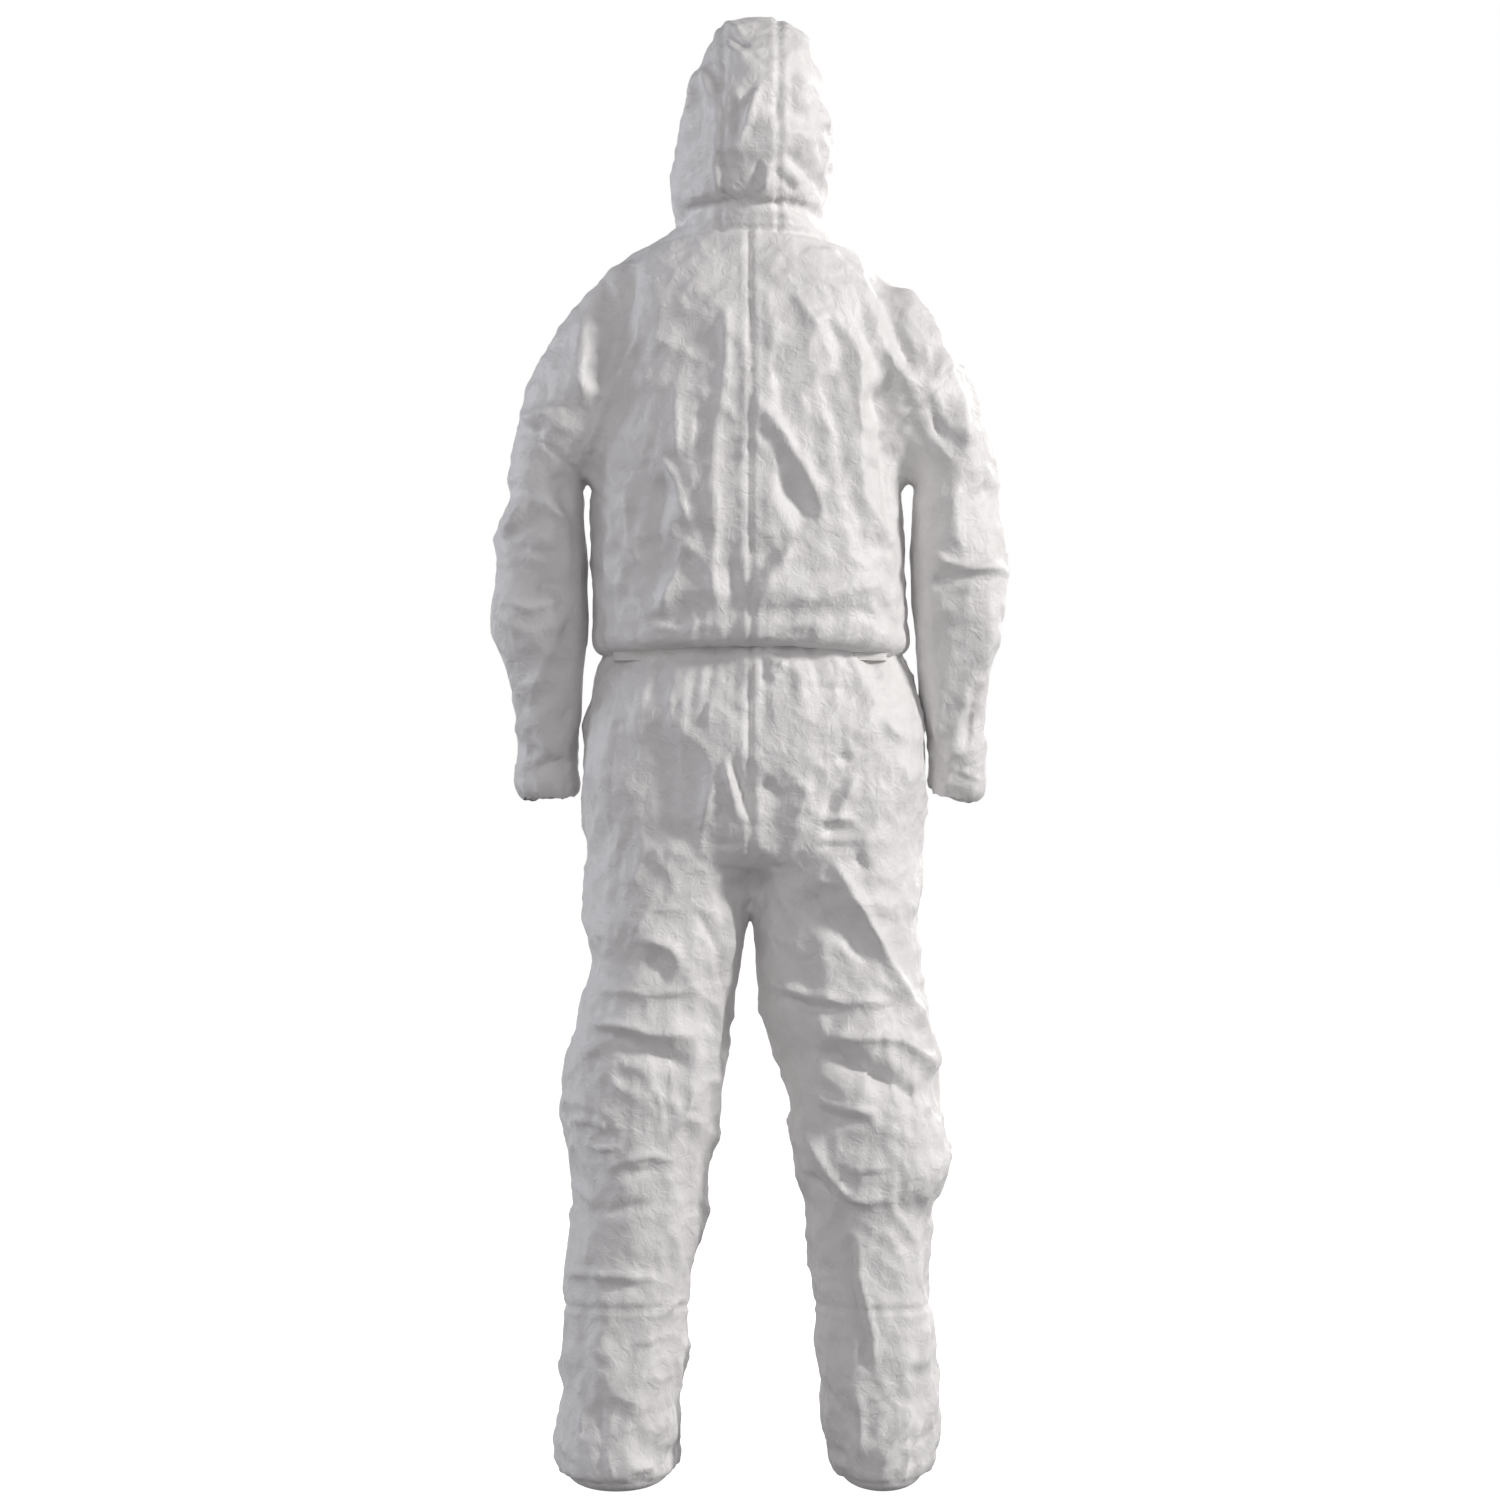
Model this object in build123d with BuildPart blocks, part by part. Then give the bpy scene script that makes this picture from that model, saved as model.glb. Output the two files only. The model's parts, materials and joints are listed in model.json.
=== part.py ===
"""A hooded disposable protective suit with attached socks, in its worn, standing shape.

Front faces -Y, the wearer's left is +X and the soles rest on Z = 0. The fabric is a thin laminate, so every
panel is a shell of one stand-in wall thickness that follows the worn shape. The left half is modelled and
the right half is its mirror image.
"""

import os
from math import cos, radians, sin

from build123d import *

os.makedirs("parts", exist_ok=True)

# Driving dimensions, in millimetres
HEIGHT = 1800
WALL = 2.0
BODY_GAP = 0.5
SECTION_POINTS = 12
WAIST_Z = 1028
CROTCH_Z = 766
PELVIS_BOTTOM_Z = 862
THIGH_TOP_Z = 690
KNEE_Z = 500
KNEE_HALF = 85
ELBOW_Z = 1083
ELBOW_HALF = 60
SOCK_SEAM_Z = 226
ANKLE_Z = 130
CUFF_Z = 838
SOLE_THICK = 3.0
HOOD_CROWN_Z = 1640
HOOD_STRIP_HALF = 34
SIDE_SEAM_Y = 32
LEG_SEAM_Y = 32
SOCK_SEAM_X = 155
CAP_X = 193

# Zip, in its own frame: X across, Y up along the teeth, Z out of the chest
THROAT = Vector(0, -71, 1492)
ZIP_FOOT = Vector(0, -103, 868)
ZIP_LENGTH = (THROAT - ZIP_FOOT).length
ZIP_UP = (THROAT - ZIP_FOOT).normalized()
ZIP_OUT = Vector(0, -ZIP_UP.Z, ZIP_UP.Y)
FLAT_DEPTH = 3.0
SLOT_HALF = 8.0
TAPE_THICK = 0.8
TAPE_OUTER = 18.0
TEETH_INNER = 1.0
TEETH_OUTER = 3.6
TEETH_THICK = 2.2
TEETH_TOP = 14.0
TEETH_BOTTOM = 618.0

# Shoulder: the rings fan out around this point beside the armpit
ARMPIT = Vector(204, 0, 1228)
ARMHOLE_ANGLE = 45

# Elastic cuff
CUFF_X, CUFF_Y = 246.5, -5.0
CUFF_INNER_R = 32.5
CUFF_OUTER_R = 34.95
CUFF_BAND = 12.0

zip_plane = Plane(origin=THROAT, x_dir=(1, 0, 0), z_dir=ZIP_OUT)
centre_plane = Plane.YZ
cap_plane = Plane.YZ.offset(CAP_X)
# XZ planes face -Y, so the front is the top side
side_seam_plane = Plane.XZ.offset(-SIDE_SEAM_Y)
leg_seam_plane = Plane.XZ.offset(-LEG_SEAM_Y)
neck_plane = Plane(origin=(0, -71, 1492), x_dir=(1, 0, 0), z_dir=(0, -37, 176))
face_plane = Plane(origin=(0, -73, 1545), x_dir=(1, 0, 0), z_dir=(0, -215, 26))

ABOVE, BELOW = Keep.TOP, Keep.BOTTOM
LEFT, RIGHT = Keep.TOP, Keep.BOTTOM
FRONT, BACK = Keep.TOP, Keep.BOTTOM


def level(z):
    return Plane.XY.offset(z)


def front_y(z):
    """The front of the trunk, just proud of the flat strip that carries the zip."""
    share = (THROAT.Z - z) / (THROAT.Z - ZIP_FOOT.Z)
    return THROAT.Y + (ZIP_FOOT.Y - THROAT.Y) * share - FLAT_DEPTH


# Level rings: height, centre x, half-width, front y, back y
TORSO_RINGS = [
    (1545, 0, 80, -62, 100),
    (1515, 0, 110, -72, 110),
    (1480, 0, 157, front_y(1480), 130),
    (1435, 0, 180, front_y(1435), 145),
    (1375, 0, 187, front_y(1375), 156),
    (1300, 0, 190, front_y(1300), 165),
    (1215, 0, 192, front_y(1215), 168),
    (1130, 0, 191, front_y(1130), 167),
    (1065, 0, 190, front_y(1065), 163),
    (1020, 0, 187, front_y(1020), 152),
]
PELVIS_RINGS = [
    (1036, 0, 186, front_y(1036), 134),
    (950, 0, 201, front_y(950), 157),
    (860, 0, 206, front_y(860), 165),
    (CROTCH_Z, 0, 206, -96, 152),
]
# The legs leave through the flat bottom of the pelvis, just inside its edge
LEG_RINGS = [
    (CROTCH_Z + 10, 104, 98, -86, 144),
    (690, 105, 96, -80, 137),
    (600, 111, 91, -73, 130),
    (505, 134, 98, -70, 130),
    (410, 138, 94, -62, 125),
    (315, 143, 83, -53, 118),
    (222, 149, 79, -49, 116),
    (ANKLE_Z, 154, 76, -50, 117),
]
FOOT_RINGS = [
    (ANKLE_Z, 154, 76, -50, 117),
    (100, 156, 76, -70, 122),
    (70, 158, 76, -115, 126),
    (40, 160, 75, -158, 129),
    (15, 160, 72, -167, 128),
    (0, 160, 64, -157, 117),
]
HOOD_RINGS = [
    (1480, 0, 92, -68, 96),
    (1529, 0, 91, -70, 105),
    (1600, 0, 104, -92, 143),
    (1660, 0, 101, -95, 153),
    (1740, 0, 78, -66, 130),
    (1780, 0, 50, -27, 90),
    (HEIGHT, 0, 24, 5, 55),
]
# Rings that fan round the armpit: angle above level, inner and outer reach, centre y, half-depth
FAN_RINGS = [
    (90, 2, 238, 33, 80),
    (80, 2, 190, 33, 78),
    (70, 3, 154, 32, 76),
    (60, 3, 131, 32, 75),
    (50, 4, 116, 31, 73),
    (40, 4, 106, 31, 71),
    (30, 5, 101, 31, 70),
    (20, 5, 98, 30, 68),
    (10, 5, 95, 30, 67),
]
# Level rings of the sleeve: height, inner x, outer x, centre y, half-depth
SLEEVE_RINGS = [
    (1228, 209, 297, 30, 66),
    (1143, 209, 315, 30, 63),
    (ELBOW_Z, 209, 320, 30, 62),
    (1023, 209, 311, 24, 59),
    (950, 209, 293, 10, 52),
    (890, 209, 285, 1, 46),
    (CUFF_Z, 209.5, 283.5, -5, 37),
]


def oval(plane, x, y, half_x, half_y):
    """An elliptical section that always starts on its local +X side, so that lofts do not twist."""
    turns = [radians(360 * step / SECTION_POINTS) for step in range(SECTION_POINTS)]
    with BuildSketch(plane) as section:
        with BuildLine():
            Spline([(x + half_x * cos(turn), y + half_y * sin(turn)) for turn in turns], periodic=True)
        make_face()
    return section.sketch


def trunk_sections(rings, inset):
    """Horizontal sections; inset shrinks every half-axis."""
    for z, x, half_width, front, back in rings:
        half_depth = (back - front) / 2
        yield oval(Plane.XY.offset(z), x, (front + back) / 2, half_width - inset, half_depth - inset)


def shoulder_sections(inset):
    """Sections from inside the shoulder, round the armpit, to the top level ring of the sleeve."""
    inside = Plane(origin=(120, 35, 1360), x_dir=(0, 0, 1), z_dir=(-1, 0, 0))
    yield oval(inside, 0, 0, 140 - inset, 75 - inset)
    for angle, near, far, y, half_depth in FAN_RINGS:
        out = Vector(cos(radians(angle)), 0, sin(radians(angle)))
        centre = ARMPIT + out * ((near + far) / 2) + Vector(0, y, 0)
        plane = Plane(origin=centre, x_dir=out, z_dir=out.cross(Vector(0, 1, 0)))
        yield oval(plane, 0, 0, (far - near) / 2 - inset, half_depth - inset)
    yield next(sleeve_sections(inset))


def sleeve_sections(inset):
    """Level sections from the armpit down to the cuff."""
    for z, near, far, y, half_depth in SLEEVE_RINGS:
        half_width = (far - near) / 2 - inset
        yield oval(Plane.XY.offset(z), (near + far) / 2, y, half_width, half_depth - inset)


def lofted(sections):
    with BuildPart() as body:
        loft(sections=list(sections))
    return body.part


def stacked(sections):
    """One straight-sided band after another, for sections that turn a sharp corner."""
    sections = list(sections)
    with BuildPart() as body:
        for first, second in zip(sections, sections[1:]):
            loft(sections=[first, second])
    return body.part


def shell(outer, *inner):
    """What is left of the outer solid when the inner ones are taken out."""
    with BuildPart() as body:
        add(outer)
        for solid in inner:
            add(solid, mode=Mode.SUBTRACT)
    return body.part


def joined(*solids):
    with BuildPart() as body:
        add(list(solids))
    return body.part


def trimmed(solid, *cuts):
    """The solid, cut by each plane in turn, keeping the side named."""
    with BuildPart() as body:
        add(solid)
        for plane, side in cuts:
            split(bisect_by=plane, keep=side)
    return body.part


def write(name, solid):
    solid.label = name
    export_step(solid, f"parts/{name}.step")


def write_pair(name, solid):
    """A left piece and its mirror image on the right."""
    with BuildPart() as other:
        mirror(solid, about=Plane.YZ)
    write(name.replace("SIDE", "left"), solid)
    write(name.replace("SIDE", "right"), other.part)


# Trunk and sleeves -------------------------------------------------------------------------------
torso_outer = trimmed(lofted(trunk_sections(TORSO_RINGS, 0)), (zip_plane, BELOW), (centre_plane, LEFT))
torso_inner = trimmed(
    lofted(trunk_sections(TORSO_RINGS, WALL)), (zip_plane.offset(-WALL), BELOW), (centre_plane, LEFT)
)
shoulder_outer = stacked(shoulder_sections(0))
shoulder_inner = stacked(shoulder_sections(WALL))

with BuildPart() as zip_slot:
    with BuildSketch(zip_plane.offset(-20)):
        with Locations((0, -ZIP_LENGTH / 2 + 30)):
            Rectangle(2 * SLOT_HALF, ZIP_LENGTH + 60)
    extrude(amount=40)

trunk_cut = ((cap_plane, RIGHT), (neck_plane, BELOW), (level(WAIST_Z), ABOVE))
body_outer = trimmed(joined(torso_outer, shoulder_outer), *trunk_cut)
body_panel = shell(body_outer, torso_inner, shoulder_inner, zip_slot.part)
write_pair("back_panel_SIDE", trimmed(body_panel, (side_seam_plane, BACK)))
write_pair("front_panel_SIDE", trimmed(body_panel, (side_seam_plane, FRONT)))

armhole_out = Vector(cos(radians(ARMHOLE_ANGLE)), 0, sin(radians(ARMHOLE_ANGLE)))
armhole_plane = Plane(origin=ARMPIT, x_dir=armhole_out, z_dir=armhole_out.cross(Vector(0, 1, 0)))
shoulder_shell = trimmed(shell(shoulder_outer, shoulder_inner), (cap_plane, LEFT))
shoulder_cap = trimmed(shoulder_shell, (armhole_plane, ABOVE))
write_pair("shoulder_back_SIDE", trimmed(shoulder_cap, (side_seam_plane, BACK)))
write_pair("shoulder_front_SIDE", trimmed(shoulder_cap, (side_seam_plane, FRONT)))

sleeve_shell = shell(lofted(sleeve_sections(0)), lofted(sleeve_sections(WALL)))
elbow_top, elbow_bottom = ELBOW_Z + ELBOW_HALF, ELBOW_Z - ELBOW_HALF
sleeve_upper = joined(
    trimmed(shoulder_shell, (armhole_plane.offset(-BODY_GAP), BELOW)),
    trimmed(sleeve_shell, (level(elbow_top), ABOVE)),
)
write_pair("sleeve_upper_SIDE", sleeve_upper)
write_pair("sleeve_elbow_SIDE", trimmed(sleeve_shell, (level(elbow_top), BELOW), (level(elbow_bottom), ABOVE)))
write_pair("sleeve_forearm_SIDE", trimmed(sleeve_shell, (level(elbow_bottom - BODY_GAP), BELOW)))

with BuildPart() as cuff_elastic:
    with BuildSketch(level(CUFF_Z)):
        with Locations((CUFF_X, CUFF_Y)):
            Circle(CUFF_OUTER_R)
            Circle(CUFF_INNER_R, mode=Mode.SUBTRACT)
    extrude(amount=CUFF_BAND)
write_pair("cuff_elastic_SIDE", cuff_elastic.part)

# Trousers and attached socks ---------------------------------------------------------------------
pelvis_outer = trimmed(lofted(trunk_sections(PELVIS_RINGS, 0)), (zip_plane, BELOW), (centre_plane, LEFT))
pelvis_inner_rings = PELVIS_RINGS[:-1] + [(CROTCH_Z + WALL, *PELVIS_RINGS[-1][1:])]
pelvis_inner = trimmed(
    lofted(trunk_sections(pelvis_inner_rings, WALL)),
    (zip_plane.offset(-WALL), BELOW),
    (centre_plane, LEFT),
)
foot_outer = lofted(trunk_sections(FOOT_RINGS, 0))
foot_inner_rings = FOOT_RINGS[:-1] + [(SOLE_THICK + WALL, *FOOT_RINGS[-1][1:])]
foot_inner = lofted(trunk_sections(foot_inner_rings, WALL))
leg_outer = joined(lofted(trunk_sections(LEG_RINGS, 0)), foot_outer)
leg_inner = joined(lofted(trunk_sections(LEG_RINGS, WALL)), foot_inner)

lower_shell = shell(
    joined(pelvis_outer, leg_outer),
    joined(pelvis_inner, leg_inner, zip_slot.part),
)
trouser_shell = trimmed(lower_shell, (level(WAIST_Z), BELOW), (level(SOLE_THICK), ABOVE))
knee_top, knee_bottom = KNEE_Z + KNEE_HALF, KNEE_Z - KNEE_HALF
LEG_ZONES = {
    "trouser_waist": (WAIST_Z, PELVIS_BOTTOM_Z),
    "trouser_seat": (PELVIS_BOTTOM_Z, THIGH_TOP_Z + BODY_GAP),
    "trouser_thigh": (THIGH_TOP_Z, knee_top),
    "trouser_shin": (knee_bottom - BODY_GAP, SOCK_SEAM_Z),
}
for zone, (top, bottom) in LEG_ZONES.items():
    stretch = trimmed(trouser_shell, (level(top), BELOW), (level(bottom), ABOVE))
    write_pair(f"{zone}_back_SIDE", trimmed(stretch, (leg_seam_plane, BACK)))
    write_pair(f"{zone}_front_SIDE", trimmed(stretch, (leg_seam_plane, FRONT)))
write_pair("trouser_knee_SIDE", trimmed(trouser_shell, (level(knee_top), BELOW), (level(knee_bottom), ABOVE)))

sock = trimmed(trouser_shell, (level(SOCK_SEAM_Z), BELOW))
sock_seam_plane = Plane.YZ.offset(SOCK_SEAM_X)
write_pair("sock_outer_SIDE", trimmed(sock, (sock_seam_plane, LEFT)))
write_pair("sock_inner_SIDE", trimmed(sock, (sock_seam_plane, RIGHT)))
write_pair("sock_sole_SIDE", trimmed(foot_outer, (level(SOLE_THICK), BELOW)))

# Waist elastic: a half band inside the back of the trouser top
BAND_HEIGHT = 22
BAND_THICK = 2
BAND_X = 182.5
BAND_BACK_Y = 128.5
BAND_FRONT_Y = front_y(1036) + 3.5
BAND_DEPTH = (BAND_BACK_Y - BAND_FRONT_Y) / 2
with BuildPart() as waist_elastic:
    with BuildSketch(level(WAIST_Z - 2)):
        with Locations((0, (BAND_FRONT_Y + BAND_BACK_Y) / 2)):
            Ellipse(BAND_X, BAND_DEPTH)
            Ellipse(BAND_X - BAND_THICK, BAND_DEPTH - BAND_THICK, mode=Mode.SUBTRACT)
    extrude(amount=-BAND_HEIGHT)
    split(bisect_by=side_seam_plane, keep=BACK)
write("waist_elastic", waist_elastic.part)

# Hood --------------------------------------------------------------------------------------------
hood_inner_rings = HOOD_RINGS[:-1] + [(HEIGHT - WALL, *HOOD_RINGS[-1][1:])]
hood_shell = shell(lofted(trunk_sections(HOOD_RINGS, 0)), lofted(trunk_sections(hood_inner_rings, WALL)))
hood_cut = trimmed(hood_shell, (neck_plane, ABOVE), (face_plane, BELOW))
strip_left = Plane.YZ.offset(HOOD_STRIP_HALF)
strip_right = Plane.YZ.offset(-HOOD_STRIP_HALF)
hood_crown = trimmed(hood_cut, (level(HOOD_CROWN_Z + BODY_GAP), ABOVE))
hood_neck = trimmed(hood_cut, (level(HOOD_CROWN_Z), BELOW), (face_plane.offset(-BODY_GAP), BELOW))
write_pair("hood_crown_SIDE", trimmed(hood_crown, (strip_left, LEFT)))
write("hood_crown_centre", trimmed(hood_crown, (strip_left, RIGHT), (strip_right, LEFT)))
nape_strip = trimmed(hood_neck, (strip_left, RIGHT), (strip_right, LEFT), (Plane.XZ, BACK))
write("hood_neck_centre", nape_strip)
neck_side = joined(
    trimmed(hood_neck, (strip_left, LEFT)),
    trimmed(hood_neck, (strip_left, RIGHT), (centre_plane, LEFT), (Plane.XZ, FRONT)),
)
write_pair("hood_neck_SIDE", neck_side)

FACE_CENTRE_UP = 111
FACE_HALF_WIDTH = 74
FACE_HALF_HEIGHT = 115
FACE_BAND = 8
FACE_BAND_THICK = 5
with BuildPart() as face_elastic:
    with BuildSketch(face_plane):
        with Locations((0, FACE_CENTRE_UP)):
            Ellipse(FACE_HALF_WIDTH, FACE_HALF_HEIGHT)
            Ellipse(FACE_HALF_WIDTH - FACE_BAND, FACE_HALF_HEIGHT - FACE_BAND, mode=Mode.SUBTRACT)
    extrude(amount=FACE_BAND_THICK)
write("hood_face_elastic", face_elastic.part)

# Size label, hanging inside the nape from the neck seam
LABEL_WIDTH, LABEL_DROP, LABEL_THICK = 40, 60, 0.8
LABEL_Y, LABEL_TOP_Z = 98.8, 1530
with BuildPart() as size_label:
    with Locations((0, LABEL_Y, LABEL_TOP_Z - LABEL_DROP / 2)):
        Box(LABEL_WIDTH, LABEL_THICK, LABEL_DROP)
write("size_label", size_label.part)


# Zip ---------------------------------------------------------------------------------------------
def bar(x, y, z):
    """A block in the zip's frame, from low to high along each axis."""
    with BuildPart() as block:
        with BuildSketch(zip_plane.offset(z[0])):
            with Locations(((x[0] + x[1]) / 2, (y[0] + y[1]) / 2)):
                Rectangle(x[1] - x[0], y[1] - y[0])
        extrude(amount=z[1] - z[0])
    return block.part


teeth_z = (-WALL, -WALL + TEETH_THICK)
tape_z = (-WALL - TAPE_THICK, -WALL)
write_pair("zip_tape_SIDE", bar((TEETH_INNER, TAPE_OUTER), (-ZIP_LENGTH + 0.5, 0), tape_z))
write_pair("zip_teeth_SIDE", bar((TEETH_INNER, TEETH_OUTER), (-TEETH_BOTTOM, -TEETH_TOP), teeth_z))

STOP_LENGTH = 1.6
with BuildPart() as zip_stops:
    for side in (-1, 1):
        stop_x = sorted((side * TEETH_INNER, side * TEETH_OUTER))
        add(bar(stop_x, (-STOP_LENGTH - 0.2, -0.2), teeth_z))
    add(bar((-TEETH_OUTER, TEETH_OUTER), (-TEETH_BOTTOM - 4, -TEETH_BOTTOM), teeth_z))
write("zip_stops", zip_stops.part)

SLIDER_HALF_WIDTH = 5.6
SLIDER_Y = (-14.0, -2.0)
SLIDER_MID = sum(SLIDER_Y) / 2
FRONT_PLATE = (0.6, 2.0)
REAR_PLATE = (-4.4, -3.2)
POST_HALF = 0.7
LUG_TOP = 5.6
PIN_Z = 3.9
PIN_R = 0.82
PIN_HOLE_R = 0.9
pin_plane = Plane(
    origin=zip_plane.from_local_coords(Vector(0, SLIDER_MID, PIN_Z)), x_dir=ZIP_UP, z_dir=(1, 0, 0)
)
with BuildPart() as slider:
    for plate in (FRONT_PLATE, REAR_PLATE):
        add(bar((-SLIDER_HALF_WIDTH, SLIDER_HALF_WIDTH), SLIDER_Y, plate))
    for side in (-1, 1):
        flange_x = sorted((side * 4.2, side * SLIDER_HALF_WIDTH))
        add(bar(flange_x, SLIDER_Y, (-1.5, FRONT_PLATE[0])))
    add(bar((-POST_HALF, POST_HALF), (-8.5, -4.0), (REAR_PLATE[1], FRONT_PLATE[0])))
    add(bar((-1.5, 1.5), (SLIDER_MID - 3, SLIDER_MID + 3), (FRONT_PLATE[1], LUG_TOP)))
    with BuildSketch(pin_plane.offset(-4)):
        Circle(PIN_HOLE_R)
    extrude(amount=8, mode=Mode.SUBTRACT)
write("zip_slider", slider.part)

TAB_Z = (3.2, 4.6)
TAB_LENGTH = 34.0
TAB_HALF_WIDTH = 4.2
with BuildPart() as pull_tab:
    tab_top = SLIDER_MID - 4.4
    add(bar((-TAB_HALF_WIDTH, TAB_HALF_WIDTH), (SLIDER_MID - TAB_LENGTH, tab_top), TAB_Z))
    for side in (-1, 1):
        arm_x = sorted((side * 2.4, side * TAB_HALF_WIDTH))
        add(bar(arm_x, (tab_top, SLIDER_MID + 0.8), TAB_Z))
    with BuildSketch(pin_plane.offset(-TAB_HALF_WIDTH)):
        Circle(PIN_R)
    extrude(amount=2 * TAB_HALF_WIDTH)
    with BuildSketch(zip_plane):
        with Locations((0, SLIDER_MID - TAB_LENGTH + 5)):
            SlotOverall(6, 3, rotation=90)
    extrude(amount=10, mode=Mode.SUBTRACT)
write("zip_pull_tab", pull_tab.part)

# Storm flap over the zip, sewn down along its left edge --------------------------------------------
FLAP_TOP, FLAP_BOTTOM = -50.0, -626.0
FLAP_Z = (6.5, 7.7)
FLAP_FREE_X = -38.0
FLAP_HINGE_X = 31.0
write("storm_flap", bar((FLAP_FREE_X, FLAP_HINGE_X - 0.6), (FLAP_BOTTOM, FLAP_TOP), FLAP_Z))
write("storm_flap_adhesive", bar((-36, -24), (FLAP_BOTTOM + 10, FLAP_TOP - 10), (FLAP_Z[0] - 0.5, FLAP_Z[0])))
write("storm_flap_seam", bar((FLAP_HINGE_X + 1.2, FLAP_HINGE_X + 7), (FLAP_BOTTOM + 4, FLAP_TOP), (0, 6)))
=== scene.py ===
"""A hooded disposable protective suit with attached socks, as worn, standing by itself.

Metres; the front faces -Y and the wearer's left is +X. The fabric is two grown surfaces (top and trousers).
They are lofted, remeshed, slackened with a cloth simulation, folded by listed strokes and cut along the
seams.
"""

import json
import math

import bmesh
import bpy
import numpy as np
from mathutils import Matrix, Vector, noise

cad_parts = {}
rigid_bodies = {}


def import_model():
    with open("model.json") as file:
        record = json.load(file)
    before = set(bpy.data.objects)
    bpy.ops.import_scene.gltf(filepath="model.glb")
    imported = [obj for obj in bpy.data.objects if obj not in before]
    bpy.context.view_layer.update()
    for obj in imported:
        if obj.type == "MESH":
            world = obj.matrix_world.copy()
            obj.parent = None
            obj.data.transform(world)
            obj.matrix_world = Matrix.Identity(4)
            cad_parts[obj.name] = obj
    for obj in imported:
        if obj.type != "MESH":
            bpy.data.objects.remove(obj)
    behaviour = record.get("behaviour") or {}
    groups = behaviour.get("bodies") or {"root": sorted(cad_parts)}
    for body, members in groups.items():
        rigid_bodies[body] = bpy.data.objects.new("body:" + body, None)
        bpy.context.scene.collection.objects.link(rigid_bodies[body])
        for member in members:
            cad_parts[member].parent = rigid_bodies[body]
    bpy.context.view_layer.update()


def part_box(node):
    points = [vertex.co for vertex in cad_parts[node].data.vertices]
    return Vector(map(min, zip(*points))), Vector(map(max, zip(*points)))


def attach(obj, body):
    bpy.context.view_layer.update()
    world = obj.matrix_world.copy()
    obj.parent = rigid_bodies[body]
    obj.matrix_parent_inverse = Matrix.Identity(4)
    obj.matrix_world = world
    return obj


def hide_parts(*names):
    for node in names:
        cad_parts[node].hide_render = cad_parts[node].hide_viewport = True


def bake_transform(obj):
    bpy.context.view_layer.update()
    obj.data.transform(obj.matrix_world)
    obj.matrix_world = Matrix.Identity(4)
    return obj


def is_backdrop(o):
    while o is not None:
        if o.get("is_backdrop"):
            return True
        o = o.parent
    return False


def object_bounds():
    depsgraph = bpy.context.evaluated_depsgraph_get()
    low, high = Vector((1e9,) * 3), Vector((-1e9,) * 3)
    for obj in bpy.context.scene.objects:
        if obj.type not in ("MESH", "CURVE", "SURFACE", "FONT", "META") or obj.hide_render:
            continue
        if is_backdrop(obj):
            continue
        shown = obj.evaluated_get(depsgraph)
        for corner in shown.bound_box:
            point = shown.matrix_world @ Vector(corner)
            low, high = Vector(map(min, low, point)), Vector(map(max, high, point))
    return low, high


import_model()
SIDES = {"left": 1, "right": -1}

# Camera, floor and light ---------------------------------------------------------------------------
VIEW_DISTANCE = 7.0
VIEW_WIDTH = 1.843
VIEW_HEIGHT = 0.8995
camera = bpy.data.objects.new("camera", bpy.data.cameras.new("camera"))
camera.data.lens = camera.data.sensor_width * VIEW_DISTANCE / VIEW_WIDTH
camera.data.clip_end = 60
camera.location = (0, VIEW_DISTANCE, VIEW_HEIGHT)
camera.rotation_euler = (math.radians(90), 0, math.radians(180))
bpy.context.scene.collection.objects.link(camera)
bpy.context.scene.camera = camera
bpy.context.scene.view_settings.view_transform = "Standard"


def area_light(name, place, target, size, power, colour):
    lamp = bpy.data.objects.new(name, bpy.data.lights.new(name, "AREA"))
    lamp.data.size = size
    lamp.data.energy = power
    lamp.data.color = colour
    lamp.location = place
    lamp.rotation_euler = (Vector(target) - Vector(place)).to_track_quat("-Z", "Y").to_euler()
    bpy.context.scene.collection.objects.link(lamp)


area_light("key", (-4.6, 1.9, 3.1), (0, 0, 1.0), 0.9, 195, (1.0, 0.985, 0.965))
area_light("fill", (1.6, 5.2, 3.4), (0, 0, 0.9), 1.6, 34, (0.97, 0.95, 0.97))
area_light("rim", (3.8, -0.6, 2.2), (0, 0, 1.0), 1.4, 42, (0.84, 0.9, 1.0))
area_light("front", (-2.4, -4.0, 2.6), (0, 0, 1.0), 2.0, 110, (1.0, 0.99, 0.97))


class Nodes:
    """Short calls for building a node tree."""

    def __init__(self, tree):
        self.tree = tree

    def add(self, kind, **values):
        node = self.tree.nodes.new(kind)
        for name, value in values.items():
            if hasattr(node, name):
                setattr(node, name, value)
            else:
                node.inputs[name.replace("_", " ")].default_value = value
        return node

    def link(self, source, target):
        self.tree.links.new(source, target)

    def math(self, operation, a, b=None, clamp=False):
        node = self.add("ShaderNodeMath", operation=operation, use_clamp=clamp)
        for socket, value in zip(node.inputs, (a, b)):
            if isinstance(value, bpy.types.NodeSocket):
                self.link(value, socket)
            elif value is not None:
                socket.default_value = value
        return node.outputs[0]


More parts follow.
